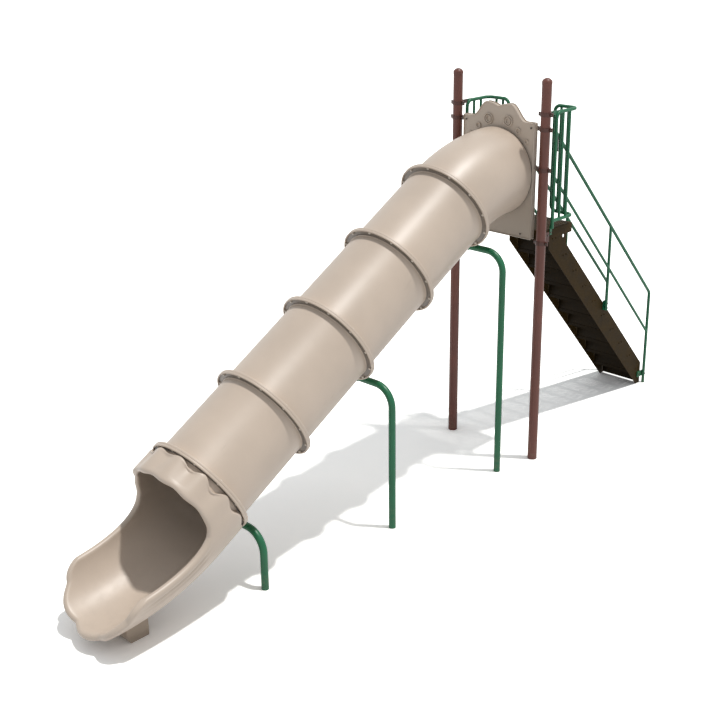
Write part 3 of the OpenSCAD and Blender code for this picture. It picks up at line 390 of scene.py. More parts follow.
def dipped_vinyl(name, colour):
    """Thick vinyl dip on steel: soft pebbled skin, worn paler where feet and hands rub."""
    f = Finish(name)
    mottle = f.noise(9.0, 4.0, 0.6)
    body = f.blend(mottle.above(0.3, 0.7), darker(colour, 0.80), darker(colour, 1.18))
    wear = f.noise(38.0, 4.0, 0.7).above(0.57, 0.74) * f.noise(2.6, 2.0, 0.5).above(0.46, 0.62)
    body = f.blend(wear * 0.30, body, darker(colour, 3.2))
    pebble = f.cells(380.0)
    normal = f.bump(pebble, 0.0006, 0.32, f.bump(f.noise(45.0, 2.0, 0.5), 0.0012, 0.30))
    return f.surface(body, 0.60 + (mottle - 0.5) * 0.16 - wear * 0.08, normal, Specular_IOR_Level=0.12)


def bolt_metal(name, colour, rough, metal):
    """Plated steel with a fine turned grain and a dull film."""
    f = Finish(name)
    film = f.noise(130.0, 3.0, 0.6)
    body = f.blend(film.above(0.35, 0.7), darker(colour, 0.80), darker(colour, 1.12))
    spots = f.noise(420.0, 2.0, 0.5).above(0.66, 0.78)
    body = f.blend(spots * 0.4, body, srgb(92, 70, 52))
    normal = f.bump(f.noise(1500.0, 1.0, 0.5), 0.0001, 0.35)
    return f.surface(body, rough + (film - 0.5) * 0.2 + spots * 0.2, normal, Metallic=metal)


def moulded_black(name):
    """Black moulded block with a fine leathery grain."""
    f = Finish(name)
    tone = f.noise(60.0, 3.0, 0.6)
    body = f.blend(tone.above(0.35, 0.7), srgb(22, 21, 20), srgb(38, 36, 34))
    return f.surface(body, 0.52 + (tone - 0.5) * 0.2, f.bump(f.cells(600.0), 0.0004, 0.35), IOR=1.5)


FINISHES = {}


def finishes():
    """The finishes, made once: one for each of the record's material slots, and two darker ones: a darker
    brown for the clamps, and a painted-shade copy of the vinyl for the treads and risers.
    """
    if not FINISHES:
        c = colours()
        recipes = {
            "slide_plastic": (moulded_plastic, c.slide, 0.44, 0.50, 0.45, slide_painted_shade),
            "panel_plastic": (moulded_plastic, c.panel, 0.50, 0.05, 0.30, panel_painted_light_and_shade),
            "foot_plastic": (moulded_plastic, c.foot, 0.52, 0.0, 0.25),
            "brown_steel": (powder_coat, c.brown, 0.42),
            "clamp": (powder_coat, darker(c.brown, 0.55), 0.40),
            "green_steel": (powder_coat, c.green, 0.38),
            "coated_steel": (dipped_vinyl, c.coated),
            # Painted shade: a darker copy of the vinyl that stands in for the shade on the treads and risers
            "coated_inner": (dipped_vinyl, darker(c.coated, 0.36)),
            "bolt_steel": (bolt_metal, c.bolt, 0.36, 0.85),
            "joint_bolt_steel": (bolt_metal, c.joint_bolt, 0.42, 0.10),
        }
        for slot, (recipe, colour, *rest) in recipes.items():
            FINISHES[slot] = recipe(slot + "_finish", tuple(colour), *rest)
        FINISHES["black_plastic"] = moulded_black("black_plastic_finish")
    return FINISHES


# MESH HELPERS

def put(name, mesh, slot, *nodes, finish=None):
    """A finished piece: its finish, the body it rides on and the CAD nodes it stands for."""
    obj = bpy.data.objects.new(name, mesh)
    bpy.context.scene.collection.objects.link(obj)
    mesh.materials.clear()
    mesh.materials.append(finishes()[finish or slot])
    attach(obj, "root")
    if nodes:
        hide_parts(*nodes)
    return obj


def put_bmesh(name, bm, angle, slot, *nodes, finish=None):
    """A finished piece from a bmesh; it shades smooth apart from edges sharper than the angle."""
    bmesh.ops.remove_doubles(bm, verts=bm.verts, dist=1e-6)
    bmesh.ops.recalc_face_normals(bm, faces=bm.faces)
    limit = math.radians(angle)
    for face in bm.faces:
        face.smooth = True
    for edge in bm.edges:
        edge.smooth = not (len(edge.link_faces) == 2 and edge.calc_face_angle(0) > limit)
    mesh = bpy.data.meshes.new(name)
    bm.to_mesh(mesh)
    bm.free()
    return put(name, mesh, slot, *nodes, finish=finish)


def loft(bm, rings, closed=True):
    """Faces between rings of points; closed also joins the last ring to the first. Returns the vertices."""
    rows = [[bm.verts.new(point) for point in ring] for ring in rings]
    pairs = list(zip(rows, rows[1:]))
    if closed:
        pairs.append((rows[-1], rows[0]))
    for first, second in pairs:
        count = len(first)
        for i in range(count):
            corners = (first[i], first[(i + 1) % count], second[(i + 1) % count], second[i])
            if len(set(corners)) == 4:
                bm.faces.new(corners)
    return rows


def arc(centre, radius, start, end, steps):
    """Points of an arc as pairs, with angles in degrees."""
    turn = [math.radians(start + (end - start) * i / steps) for i in range(steps + 1)]
    return [(centre[0] + radius * math.cos(t), centre[1] + radius * math.sin(t)) for t in turn]


def box_with_folds(bm, low, high, fold, steps=3):
    """A closed box whose edges are rounded."""
    made = bmesh.ops.create_cube(bm, size=1)["verts"]
    size = Vector(high) - Vector(low)
    for vert in made:
        vert.co = Vector(low) + Vector((size[i] * (vert.co[i] + 0.5) for i in range(3)))
    edges = {edge for vert in made for edge in vert.link_edges}
    bmesh.ops.bevel(bm, geom=list(edges), offset=fold, segments=steps, affect="EDGES", profile=0.5)


# GEOMETRY NODES

class Growth(Nodes):
    """A geometry node tree with named inputs."""

    def __init__(self, name, numbers, others=None):
        super().__init__(bpy.data.node_groups.new(name, "GeometryNodeTree"), "GeometryNode")
        kinds = dict(others or {})
        kinds.update({label: "Float" for label in numbers.split(", ")}, Material="Material")
        self.ids = {}
        for label, kind in kinds.items():
            made = self.tree.interface.new_socket(name=label, in_out="INPUT", socket_type="NodeSocket" + kind)
            self.ids[label] = made.identifier
        self.tree.interface.new_socket(name="Geometry", in_out="OUTPUT", socket_type="NodeSocketGeometry")
        self.start = self.tree.nodes.new("NodeGroupInput")
        self.end = self.tree.nodes.new("NodeGroupOutput")

    def __getitem__(self, label):
        return Value(self, self.start.outputs[label])

    def point(self, x=0.0, y=0.0, z=0.0):
        return self.node("ShaderNodeCombineXYZ", None, {0: x, 1: y, 2: z})

    def moved(self, geometry, place, turn=None):
        return self.node("Transform", None, {0: geometry, "Translation": place, "Rotation": turn})

    def circle(self, sides, radius):
        return self.node("CurvePrimitiveCircle", {"mode": "RADIUS"}, {"Resolution": sides, "Radius": radius})

    def choose(self, kind, items):
        """One of the items by the element's index."""
        made = self.tree.nodes.new("GeometryNodeIndexSwitch")
        made.data_type = kind
        while len(made.index_switch_items) < len(items):
            made.index_switch_items.new()
        for place, item in enumerate([self.node("InputIndex"), *items]):
            self.feed(made.inputs[place], item)
        return Value(self, made.outputs[0])

    def join(self, *parts):
        made = self.tree.nodes.new("GeometryNodeJoinGeometry")
        for part in reversed(parts):
            self.feed(made.inputs[0], part)
        return Value(self, made.outputs[0])

    def finish(self, geometry, angle=35):
        """Realises instances, shades smooth apart from sharp edges, and sets the material."""
        real = self.node("RealizeInstances", None, {0: geometry})
        smooth = self.node("SetShadeSmooth", {"domain": "FACE"}, {0: real})
        sharp = self.node("FunctionNodeCompare", {"data_type": "FLOAT", "operation": "GREATER_THAN"},
                          {0: self.node("InputMeshEdgeAngle"), 1: math.radians(angle)})
        smooth = self.node("SetShadeSmooth", {"domain": "EDGE"}, {0: smooth, 1: sharp, 2: False})
        done = self.node("SetMaterial", None, {0: smooth, "Material": self["Material"]})
        self.feed(self.end.inputs[0], done)
        return self

    def grow(self, name, slot, values, base=None):
        """The plain mesh that the tree makes with these values."""
        carrier = bpy.data.objects.new(name + "_carrier", base or bpy.data.meshes.new(name + "_carrier"))
        bpy.context.scene.collection.objects.link(carrier)
        modifier = carrier.modifiers.new("Growth", "NODES")
        modifier.node_group = self.tree
        for label, value in values.items():
            modifier[self.ids[label]] = value
        modifier[self.ids["Material"]] = finishes()[slot]
        bpy.context.view_layer.update()
        ready = carrier.evaluated_get(bpy.context.evaluated_depsgraph_get())
        mesh = bpy.data.meshes.new_from_object(ready)
        mesh.name = name
        carrier.modifiers.remove(modifier)
        bpy.data.objects.remove(carrier)
        if not mesh.polygons:
            raise RuntimeError(name + " came out empty")
        return mesh


def turned_section_tree():
    """A length of round tube with a ring at each end, turned from its profile, uphill from its place."""
    g = Growth("Turned Section", "Length, Tube Radius, Tube Wall, Ring Radius, Ring Width, Ring Rounding, "
               "Groove, Channel Inner, Channel Outer, Channel Depth, Tilt",
               {"Segments": "Int", "Place": "Vector"})
    core = 0.05
    inner, outer = g["Tube Radius"] - g["Tube Wall"] - core, g["Tube Radius"] - core
    near_wall, far_wall, ring = g["Channel Inner"] - core, g["Channel Outer"] - core, g["Ring Radius"] - core
    far = g["Length"] - g["Ring Width"]
    bed = far + g["Channel Depth"]
    width, rounding, groove = g["Ring Width"], g["Ring Rounding"], g["Groove"]
    # Each corner: distance from the core, distance along the tube, rounding
    profile = ((inner, 0.0, 0.0008), (ring, 0.0, groove), (ring, width, rounding), (outer, width, rounding),
               (outer, far, rounding), (near_wall, far, 0.003), (near_wall, bed, 0.001),
               (far_wall, bed, 0.001), (far_wall, far, rounding), (ring, far, rounding),
               (ring, g["Length"], groove), (inner, g["Length"], 0.0008))
    line = g.node("MeshLine", {"mode": "OFFSET"}, {"Count": len(profile), "Offset": (0, 0, 0.001)})
    corners = g.choose("VECTOR", [g.point(radius, along) for radius, along, _ in profile])
    line = g.node("SetPosition", None, {0: line, "Position": corners})
    outline = g.node("SetSplineCyclic", None, {0: g.node("MeshToCurve", None, {0: line}), "Cyclic": True})
    outline = g.node("FilletCurve", {"mode": "POLY"}, {
        0: outline, "Count": 6, "Radius": g.choose("FLOAT", [corner[2] for corner in profile]),
        "Limit Radius": True})
    body = g.node("CurveToMesh", None, {0: g.circle(g["Segments"], core), 1: outline})
    return g.finish(g.moved(body, g["Place"], g.point(g["Tilt"])), 50)


def joint_bolts_tree():
    """Domed bolts, washers and nuts set round a joint; the lowest nut is set back by a saddle plate."""
    g = Growth("Joint Bolts", "Circle Radius, Shank Radius, Head Radius, Head Height, Grip, Recess, Saddle, "
               "Tilt", {"Count": "Int", "Seed": "Int", "Place": "Vector"})
    radius, height, top_r = g["Head Radius"], g["Head Height"], g["Head Radius"] * 0.80
    washer_r, washer, nut = radius * 1.1, 0.0014, 0.0060

    def disc(sides, low_r, tall, z, high_r=None):
        made = g.node("MeshCone", {"fill_type": "NGON"}, {
            "Vertices": sides, "Radius Top": high_r or low_r, "Radius Bottom": low_r, "Depth": tall})
        return g.moved(made, g.point(0.0, 0.0, z))

    def round_the_joint(points, part, turn):
        return g.node("InstanceOnPoints", None, {0: points, "Instance": part, "Rotation": turn})

    heads = g.join(disc(16, washer_r, washer, 0.0), disc(16, radius, height * 0.5, 0.0012),
                   disc(16, radius, height * 0.3, height * 0.5, top_r),
                   disc(16, top_r, height * 0.2, height * 0.8, radius * 0.40))
    boss_low, boss_top = g["Recess"] * -1.0, g["Recess"] * -0.4
    heads = g.moved(heads, g.point(0.0, 0.0, boss_top))
    heads = g.join(heads, disc(16, washer_r, boss_top - boss_low, boss_low))
    back = g["Grip"] * -1.0
    nuts = g.join(disc(16, washer_r, washer, back - washer), disc(6, radius, nut, back - (nut + 0.001)),
                  disc(10, g["Shank Radius"], nut + 0.002, back - (nut + 0.002)))
    points = g.node("MeshCircle", None, {"Vertices": g["Count"], "Radius": g["Circle Radius"]})
    points = g.moved(points, None, (0, 0, math.pi / 2))
    lowest = g.node("FunctionNodeCompare", {"data_type": "INT", "operation": "EQUAL"},
                    {2: g.node("InputIndex"), 3: g["Count"] / 2.0})
    nut_points = g.node("SetPosition", None, {
        0: points, "Selection": lowest, "Offset": g.point(0.0, 0.0, g["Saddle"] * -1.0)})
    turn = g.point(0.0, 0.0, g.node("FunctionNodeRandomValue", {"data_type": "FLOAT"},
                                    {2: 0.0, 3: math.pi / 3, "Seed": g["Seed"]}, out=1))
    parts = g.join(round_the_joint(points, heads, turn), round_the_joint(nut_points, nuts, turn))
    return g.finish(g.moved(parts, g["Place"], g.point(g["Tilt"])), 28)


def perforated_plate_tree():
    """A flat plate with rows of round holes, its top at height zero."""
    g = Growth("Perforated Plate", "Width, Depth, Thickness, Pitch, Hole Radius, Margin")
    across, along = (g.maths("FLOOR", (g[size] - g["Margin"] * 2.0) / g["Pitch"]) + 1.0
                     for size in ("Width", "Depth"))
    grid = g.node("MeshGrid", None, {
        "Size X": (across - 1.0) * g["Pitch"], "Size Y": (along - 1.0) * g["Pitch"],
        "Vertices X": across, "Vertices Y": along})
    holes = g.node("InstanceOnPoints", None, {0: grid, "Instance": g.circle(8, g["Hole Radius"])})
    holes = g.node("RealizeInstances", None, {0: holes})
    edge = g.node("CurvePrimitiveQuadrilateral", {"mode": "RECTANGLE"},
                  {"Width": g["Width"], "Height": g["Depth"]})
    top = g.node("FillCurve", {"mode": "TRIANGLES"}, {0: g.join(edge, holes)})
    raised = g.node("ExtrudeMesh", {"mode": "FACES"}, {
        0: top, "Offset": g.point(0.0, 0.0, 1.0), "Offset Scale": g["Thickness"], "Individual": False})
    under = g.node("FlipFaces", None, {0: top})
    plate = g.node("MergeByDistance", None, {0: g.join(raised, under), "Distance": 0.00001})
    return g.finish(g.moved(plate, g.point(0.0, 0.0, g["Thickness"] * -1.0)), 40)


def bead_rings_tree():
    """Raised rings that stand on a face: one for each point, of the radius that the point carries."""
    g = Growth("Bead Rings", "Bead Radius", {"Centres": "Geometry"})
    size = g.node("InputNamedAttribute", {"data_type": "FLOAT"}, {"Name": "ring_radius"})
    rings = g.node("InstanceOnPoints", None, {
        0: g["Centres"], "Instance": g.circle(72, 1.0), "Rotation": (math.pi / 2, 0, 0),
        "Scale": g.point(size, size, size)})
    rings = g.node("RealizeInstances", None, {0: rings})
    return g.finish(g.node("CurveToMesh", None, {0: rings, 1: g.circle(12, g["Bead Radius"])}), 60)


# OPERATORS

class PieceOperator:
    """What the operators of the pieces share."""
    bl_options = {"REGISTER", "UNDO"}


class TUBESLIDE_OT_sections(PieceOperator, bpy.types.Operator):
    """Four straight tube sections with their joint rings"""
    bl_idname = "tube_slide.sections"
    bl_label = "Tube Sections"

    def execute(self, context):
        s = sizes()
        tree = turned_section_tree()
        for k in range(1, 5):
            mesh = tree.grow(f"tube_section_{k}_body", "slide_plastic", {
                "Length": JOINTS[k] - JOINTS[k - 1], "Tube Radius": s.tube_radius, "Tube Wall": s.tube_wall,
                "Ring Radius": s.ring_radius, "Ring Width": s.ring_width, "Ring Rounding": s.ring_round,
                "Groove": s.ring_groove, "Channel Inner": s.channel_inner, "Channel Outer": s.channel_outer,
                "Channel Depth": s.channel_depth, "Segments": s.segments, "Tilt": SECTION_TILT,
                "Place": PATH_START + DOWN * JOINTS[k]})
            put(f"tube_section_{k}_body", outward(mesh), "slide_plastic", f"tube_section_{k}")
        return {"FINISHED"}


def outward(mesh):
    """The same mesh with its doubles merged and its faces pointing outwards."""
    bm = bmesh.new()
    bm.from_mesh(mesh)
    bmesh.ops.remove_doubles(bm, verts=bm.verts, dist=1e-6)
    bmesh.ops.recalc_face_normals(bm, faces=bm.faces)
    bm.to_mesh(mesh)
    bm.free()
    return mesh


def bend_frame(turn):
    """Centre and upward direction of the entrance bend after a turn in radians."""
    y = POST_Y - PANEL_FRONT - BEND_RADIUS * math.sin(turn)
    z = ENTRANCE_HEIGHT - BEND_RADIUS * (1 - math.cos(turn))
    return Vector((0, y, z)), Vector((0, -math.sin(turn), math.cos(turn)))


def circle_about(centre, up, radius, count):
    side = Vector((1, 0, 0))
    return [centre + side * (radius * math.sin(2 * math.pi * i / count))
            + up * (radius * math.cos(2 * math.pi * i / count)) for i in range(count)]


BEND_STEPS = 36
# The groove where the bend meets the panel: distance from the panel, depth under the tube's surface
BEND_ROOT = ((0.0, 0.006), (0.008, 0.006), (0.011, 0.003), (0.014, 0.0008))


class TUBESLIDE_OT_entrance(PieceOperator, bpy.types.Operator):
    """The bent entrance section between the panel and the first joint"""
    bl_idname = "tube_slide.entrance"
    bl_label = "Entrance Section"

    def execute(self, context):
        s = sizes()
        outer, inner = s.tube_radius, s.tube_radius - s.tube_wall
        n = s.segments
        frames = [bend_frame(SLOPE * i / BEND_STEPS) for i in range(BEND_STEPS + 1)]
        rings = [circle_about(*bend_frame(along / BEND_RADIUS), outer - depth, n)
                 for along, depth in BEND_ROOT]
        rings += [circle_about(*place, outer, n) for place in frames[1:]]
        end, up = frames[-1]
        w, r, g = s.ring_width, s.ring_round, s.ring_groove
        profile = [(outer, 0.0)]
        profile += arc((s.ring_radius - r, r), r, -90, 0, 6) + arc((s.ring_radius - g, w - g), g, 0, 90, 3)
        profile += [(inner, w)]
        rings += [circle_about(end + DOWN * along, up, radius, n) for radius, along in profile]
        rings += [circle_about(*place, inner, n) for place in frames[:0:-1]]
        start, up = frames[0]
        lip_back = start - Vector((0, OPENING_LIP, 0))
        rings += [circle_about(lip_back, up, inner, n), circle_about(lip_back, up, OPENING_RADIUS, n),
                  circle_about(start, up, OPENING_RADIUS, n)]
        bm = bmesh.new()
        loft(bm, rings)
        put_bmesh("entrance_bend", bm, 50, "slide_plastic", "entrance_section")
        return {"FINISHED"}


class TUBESLIDE_OT_joint_bolts(PieceOperator, bpy.types.Operator):
    """The bolts, washers and nuts of the five joints"""
    bl_idname = "tube_slide.joint_bolts"
    bl_label = "Joint Bolts"

    def execute(self, context):
        s = sizes()
        tree = joint_bolts_tree()
        for k, along in enumerate(JOINTS):
            mesh = tree.grow(f"joint_bolts_{k + 1}_set", "joint_bolt_steel", {
                "Count": JOINT_BOLTS, "Circle Radius": BOLT_CIRCLE, "Shank Radius": s.bolt_radius,
                "Head Radius": s.head_radius, "Head Height": s.head_height, "Grip": 2 * s.ring_width,
                "Recess": s.channel_depth, "Saddle": SADDLE_PLATE if k % 2 == 0 else 0.0, "Seed": k,
                "Tilt": SECTION_TILT,
                "Place": PATH_START + DOWN * (along + s.ring_width)})
            put(f"joint_bolts_{k + 1}_set", outward(mesh), "joint_bolt_steel", f"joint_bolts_{k + 1}")
        return {"FINISHED"}


PANEL_HALF, PANEL_CORNER = 0.403, 0.012
PANEL_EDGE, OPENING_EDGE = 0.009, 0.006
PANEL_LOW = DECK_HEIGHT - 0.085
PANEL_SHOULDER = DECK_HEIGHT + 0.978
PANEL_PEAK, PANEL_NOTCH, PANEL_PEAK_X, PANEL_SWEEP_X = 0.142, 0.030, 0.130, 0.300
OPENING_RADIUS, OPENING_LIP = 0.372, 0.010
# The raised rings on one side: distance from the middle, height over the entrance's centre, radius
RING_PATTERN = [(0.110, 0.460, 0.046), (0.110, 0.460, 0.027), (0.225, 0.384, 0.024), (0.316, 0.300, 0.019)]


def panel_top(across):
    """Height of the panel's upper edge at a distance from its middle."""
    a = abs(across)
    if a <= PANEL_PEAK_X:
        return PANEL_SHOULDER + PANEL_PEAK - PANEL_NOTCH * (1 - math.sin(math.pi / 2 * a / PANEL_PEAK_X))
    if a <= PANEL_SWEEP_X:
        return PANEL_SHOULDER + PANEL_PEAK * (0.5 + 0.5 * math.cos(
            math.pi * (a - PANEL_PEAK_X) / (PANEL_SWEEP_X - PANEL_PEAK_X)))
    return PANEL_SHOULDER


def panel_outline():
    """The panel's outline as pairs, anticlockwise, with its corners rounded."""
    r = PANEL_CORNER
    points = arc((-PANEL_HALF + r, PANEL_LOW + r), r, 180, 270, 6)
    points += [(PANEL_HALF * (i / 12 - 0.5) * 1.8, PANEL_LOW) for i in range(13)]
    points += arc((PANEL_HALF - r, PANEL_LOW + r), r, -90, 0, 6)
    points += [(PANEL_HALF, PANEL_LOW + 0.1 * i) for i in range(1, 10)]
    points += arc((PANEL_HALF - r, PANEL_SHOULDER - r), r, 0, 90, 6)
    inner = PANEL_HALF - r - 0.004
    points += [(inner * (1 - i / 96), panel_top(inner * (1 - i / 96))) for i in range(193)]
    points += arc((-PANEL_HALF + r, PANEL_SHOULDER - r), r, 90, 180, 6)
    points += [(-PANEL_HALF, PANEL_LOW + 0.1 * i) for i in range(9, 0, -1)]
    return points


def shrunk(points, inset):
    """The same outline moved inwards along the mean of its edges' normals."""
    moved = []
    count = len(points)
    for i, point in enumerate(points):
        before, here, after = (Vector(points[j % count]) for j in (i - 1, i, i + 1))
        first, second = (here - before).normalized(), (after - here).normalized()
        along = (first + second).normalized()
        normal = Vector((-along.y, along.x))
        lean = max(0.6, normal.dot(Vector((-first.y, first.x))))
        moved.append(here + normal * (inset / lean))
    return moved


def rounded_edge(radius, steps):
    """Pairs of inset and height that round an edge from its side to its top."""
    turns = [math.pi / 2 * i / steps for i in range(steps + 1)]
    return [(radius - radius * math.cos(turn), radius * math.sin(turn) - radius) for turn in turns]


class TUBESLIDE_OT_panel(PieceOperator, bpy.types.Operator):
    """The entrance panel with rounded edges, and the raised rings on its face"""
    bl_idname = "tube_slide.panel"
    bl_label = "Entrance Panel"

    def execute(self, context):
        s = sizes()
        front, back = POST_Y - PANEL_FRONT, POST_Y - PANEL_FRONT + PANEL_THICK
        outline = panel_outline()
        edge, hole_edge = rounded_edge(PANEL_EDGE, 5), rounded_edge(OPENING_EDGE, 4)
        bm = bmesh.new()

        def wall(shape, profile):
            rows = [[(p[0], front - rise, p[1]) for p in shape(inset)] for inset, rise in profile]
            rows += [[(p[0], back + rise, p[1]) for p in shape(inset)] for inset, rise in reversed(profile)]
            made = loft(bm, rows[::-1], closed=False)
            return made[0], made[-1]

        def ring(inset):
            return arc((0, ENTRANCE_HEIGHT), OPENING_RADIUS + inset, 0, 360, s.segments)[:-1]

        loops = [wall(lambda inset: shrunk(outline, inset), edge), wall(ring, hole_edge)]
        for side in (0, 1):
            edges = []
            for loop in loops:
                verts = loop[side]
                edges += [bm.edges.get((verts[i], verts[(i + 1) % len(verts)])) for i in range(len(verts))]
            bmesh.ops.triangle_fill(bm, edges=edges, use_beauty=True, normal=(0, -1, 0))
        panel = put_bmesh("entrance_panel_slab", bm, 40, "panel_plastic", "entrance_panel")
        if len(panel.data.polygons) < 1000:
            raise RuntimeError("the panel's faces weren't filled")
        base = bpy.data.meshes.new("ring_centres")
        centres = [(side * x, front, ENTRANCE_HEIGHT + z) for x, z, _ in RING_PATTERN for side in (1, -1)]
        base.from_pydata(centres, [], [])
        radii = base.attributes.new("ring_radius", "FLOAT", "POINT")
        radii.data.foreach_set("value", [r for _, _, r in RING_PATTERN for _ in (1, -1)])
        rings = bead_rings_tree().grow("entrance_panel_rings", "panel_plastic",
                                       {"Bead Radius": s.bead_radius}, base)
        put("entrance_panel_rings", outward(rings), "panel_plastic")
        return {"FINISHED"}


# Exit section: u runs down the slide from the joint face, a is the angle from the lowest line in degrees
EXIT_START = PATH_START + DOWN * JOINTS[4]
EXIT_STRAIGHT, EXIT_BEND = 0.255, 1.645
EXIT_BEND_LENGTH = EXIT_BEND * SLOPE
EXIT_BEND_CENTRE = EXIT_START + DOWN * EXIT_STRAIGHT + UP * EXIT_BEND
EXIT_OUT, EXIT_IN, NECK_RADIUS = 0.455, 0.399, 0.410
EXIT_MIDDLE, HALF_WALL = 0.427, 0.028
# The brim's distance over the crown, how much more at its sides, and how it gets there
BRIM, BRIM_SIDE, BRIM_WAVE, BRIM_FALL, BRIM_CREEP = 0.260, 0.070, 0.012, 10, 0.0003
# The rim's angle, the distance over which it settles, and its drop near the lip
RIM_ANGLE, RIM_SETTLE, RIM_DROP, RIM_DROP_FROM, RIM_DROP_SPAN = 79.0, 0.110, 5, 0.330, 0.140 / 0.6
# The lip's distance, its scallops, its sweep and its turn back to the rim
LIP, LIP_SCALLOP, LIP_SWEEP = 1.205, 0.038, 0.000028
LIP_CORNER, LIP_CORNER_ANGLE = 0.120, 58.0
HOOD_EDGE, HOOD_SCALLOP, HOOD_SCALLOP_MORE = 0.025, 0.022, 0.038
# Flutes: the angles over which they set in, and how much shallower they get between two distances
FLUTE_FROM, FLUTE_TO = 88, 112
FLUTE_LOSS, LOSS_FROM, LOSS_TO = 0.62, 0.080, 0.260
# SHOULDER gives the rows of the hood's shoulder: distance past its edge, and radius
SHOULDER_LENGTH, HOOD_FRONT, NECK_LENGTH, NECK_FLARE = 0.019, 0.215, 0.060, 0.120
SHOULDER = ((-0.0012, NECK_RADIUS), (0.0, NECK_RADIUS + 0.004), (0.001, EXIT_OUT - 0.020),
            (0.003, EXIT_OUT - 0.012), (0.007, EXIT_OUT - 0.0055), (0.012, EXIT_OUT - 0.0018),
            (SHOULDER_LENGTH, EXIT_OUT))
# Grooves under the rim: angle and depth of each, and their half width in degrees
RIM_GROOVES = ((80.5, 0.010), (74.5, 0.008))
RIM_GROOVE_SPAN = 1.7
# Shares of the half wall at which a rounded edge has its rows
EDGE_STEPS = [0.0, 0.045, 0.16, 0.36, 0.64, 1.0]
EDGE_LAST = len(EDGE_STEPS) - 1
COLUMN_STEP, BEADS_FROM = 2.5, 70
HOOD_ROWS, FLARE_ROWS, TROUGH_ROWS = 11, 6, 44


def trough_point(u, a, radius):
    """A point of the exit section from its distance, angle and radius."""
    if u < EXIT_STRAIGHT:
        turn, centre = SLOPE, EXIT_START + DOWN * u
    else:
        turn = max(0.0, SLOPE - (u - EXIT_STRAIGHT) / EXIT_BEND)
        past = max(0.0, u - EXIT_STRAIGHT - EXIT_BEND_LENGTH)
        centre = EXIT_BEND_CENTRE + Vector((
            0, EXIT_BEND * math.sin(turn) - past, -EXIT_BEND * math.cos(turn)))
    angle = math.radians(a)
    rise = -radius * math.cos(angle)
    return centre + Vector((radius * math.sin(angle), -math.sin(turn) * rise, math.cos(turn) * rise))


def brim(a):
    """Distance of the hood's front edge at an angle."""
    if abs(a) >= 90:
        wave = BRIM_WAVE * bolt_wave(a) * between(abs(a), 90, 110)
        return BRIM + BRIM_SIDE * math.exp(-(abs(a) - 90) / BRIM_FALL) - wave
    return BRIM + BRIM_SIDE + (90 - abs(a)) * BRIM_CREEP


def rim(u):
    """Angle of the trough's rim at a distance."""
    return (RIM_ANGLE + (90 - RIM_ANGLE) * math.exp(-(u - BRIM - BRIM_SIDE) / RIM_SETTLE)
            - RIM_DROP * max(0.0, (u - LIP + RIM_DROP_FROM) / RIM_DROP_SPAN) ** 2)


def lip(a):
    """Distance of the lip's scalloped edge at an angle; it turns back round the corners to the rim."""
    corner = between(abs(a), LIP_CORNER_ANGLE, RIM_ANGLE)
    return (LIP - LIP_SCALLOP - LIP_SWEEP * a * a + LIP_SCALLOP * abs(math.cos(math.radians(4.5 * a)))
            - LIP_CORNER * (1 - math.sqrt(1 - corner * corner)))


def bolt_wave(a):
    """1 behind each joint bolt and 0 midway between two."""
    return 0.5 + 0.5 * math.cos(math.radians(JOINT_BOLTS * (180 - a)))


def hood_edge(a):
    """Distance of the hood's upper edge, cut back at each joint bolt."""
    more = HOOD_SCALLOP_MORE * math.sin(math.radians(1.5 * (180 - a))) ** 2
    return HOOD_EDGE + (HOOD_SCALLOP + more) * bolt_wave(a)


def between(value, low, high):
    """0 up to low, 1 from high, and straight between."""
    return min(1.0, max(0.0, (value - low) / (high - low)))


def round_in(share):
    """Height of a quarter circle at a share of its width."""
    return 1.0 if share >= 1 else math.sqrt(max(0.0, 1 - (1 - share) ** 2))


def rim_beads(column):
    """Depth of the two grooves that leave raised beads along the outside of the trough's rim."""
    return sum(depth * math.exp(-((abs(column) - place) / RIM_GROOVE_SPAN) ** 2)
               for place, depth in RIM_GROOVES)


def exit_columns():
    """Angles of the columns, lower ones first, and each one's step from the rim."""
    edge = [e * math.degrees(HALF_WALL / EXIT_MIDDLE) for e in EDGE_STEPS]
    inner = [COLUMN_STEP * i - BEADS_FROM for i in range(int(2 * BEADS_FROM / COLUMN_STEP) + 1)]
    beads = [BEADS_FROM + COLUMN_STEP / 2 * i for i in range(1, 13)]
    inner = [-a for a in reversed(beads)] + inner + beads
    low = [-90 + e for e in edge] + inner + [90 - e for e in reversed(edge)]
    steps = EDGE_STEPS + [9.0] * len(inner) + EDGE_STEPS[::-1]
    top = [90 + COLUMN_STEP * i for i in range(1, int(180 / COLUMN_STEP))]
    return low, top, steps


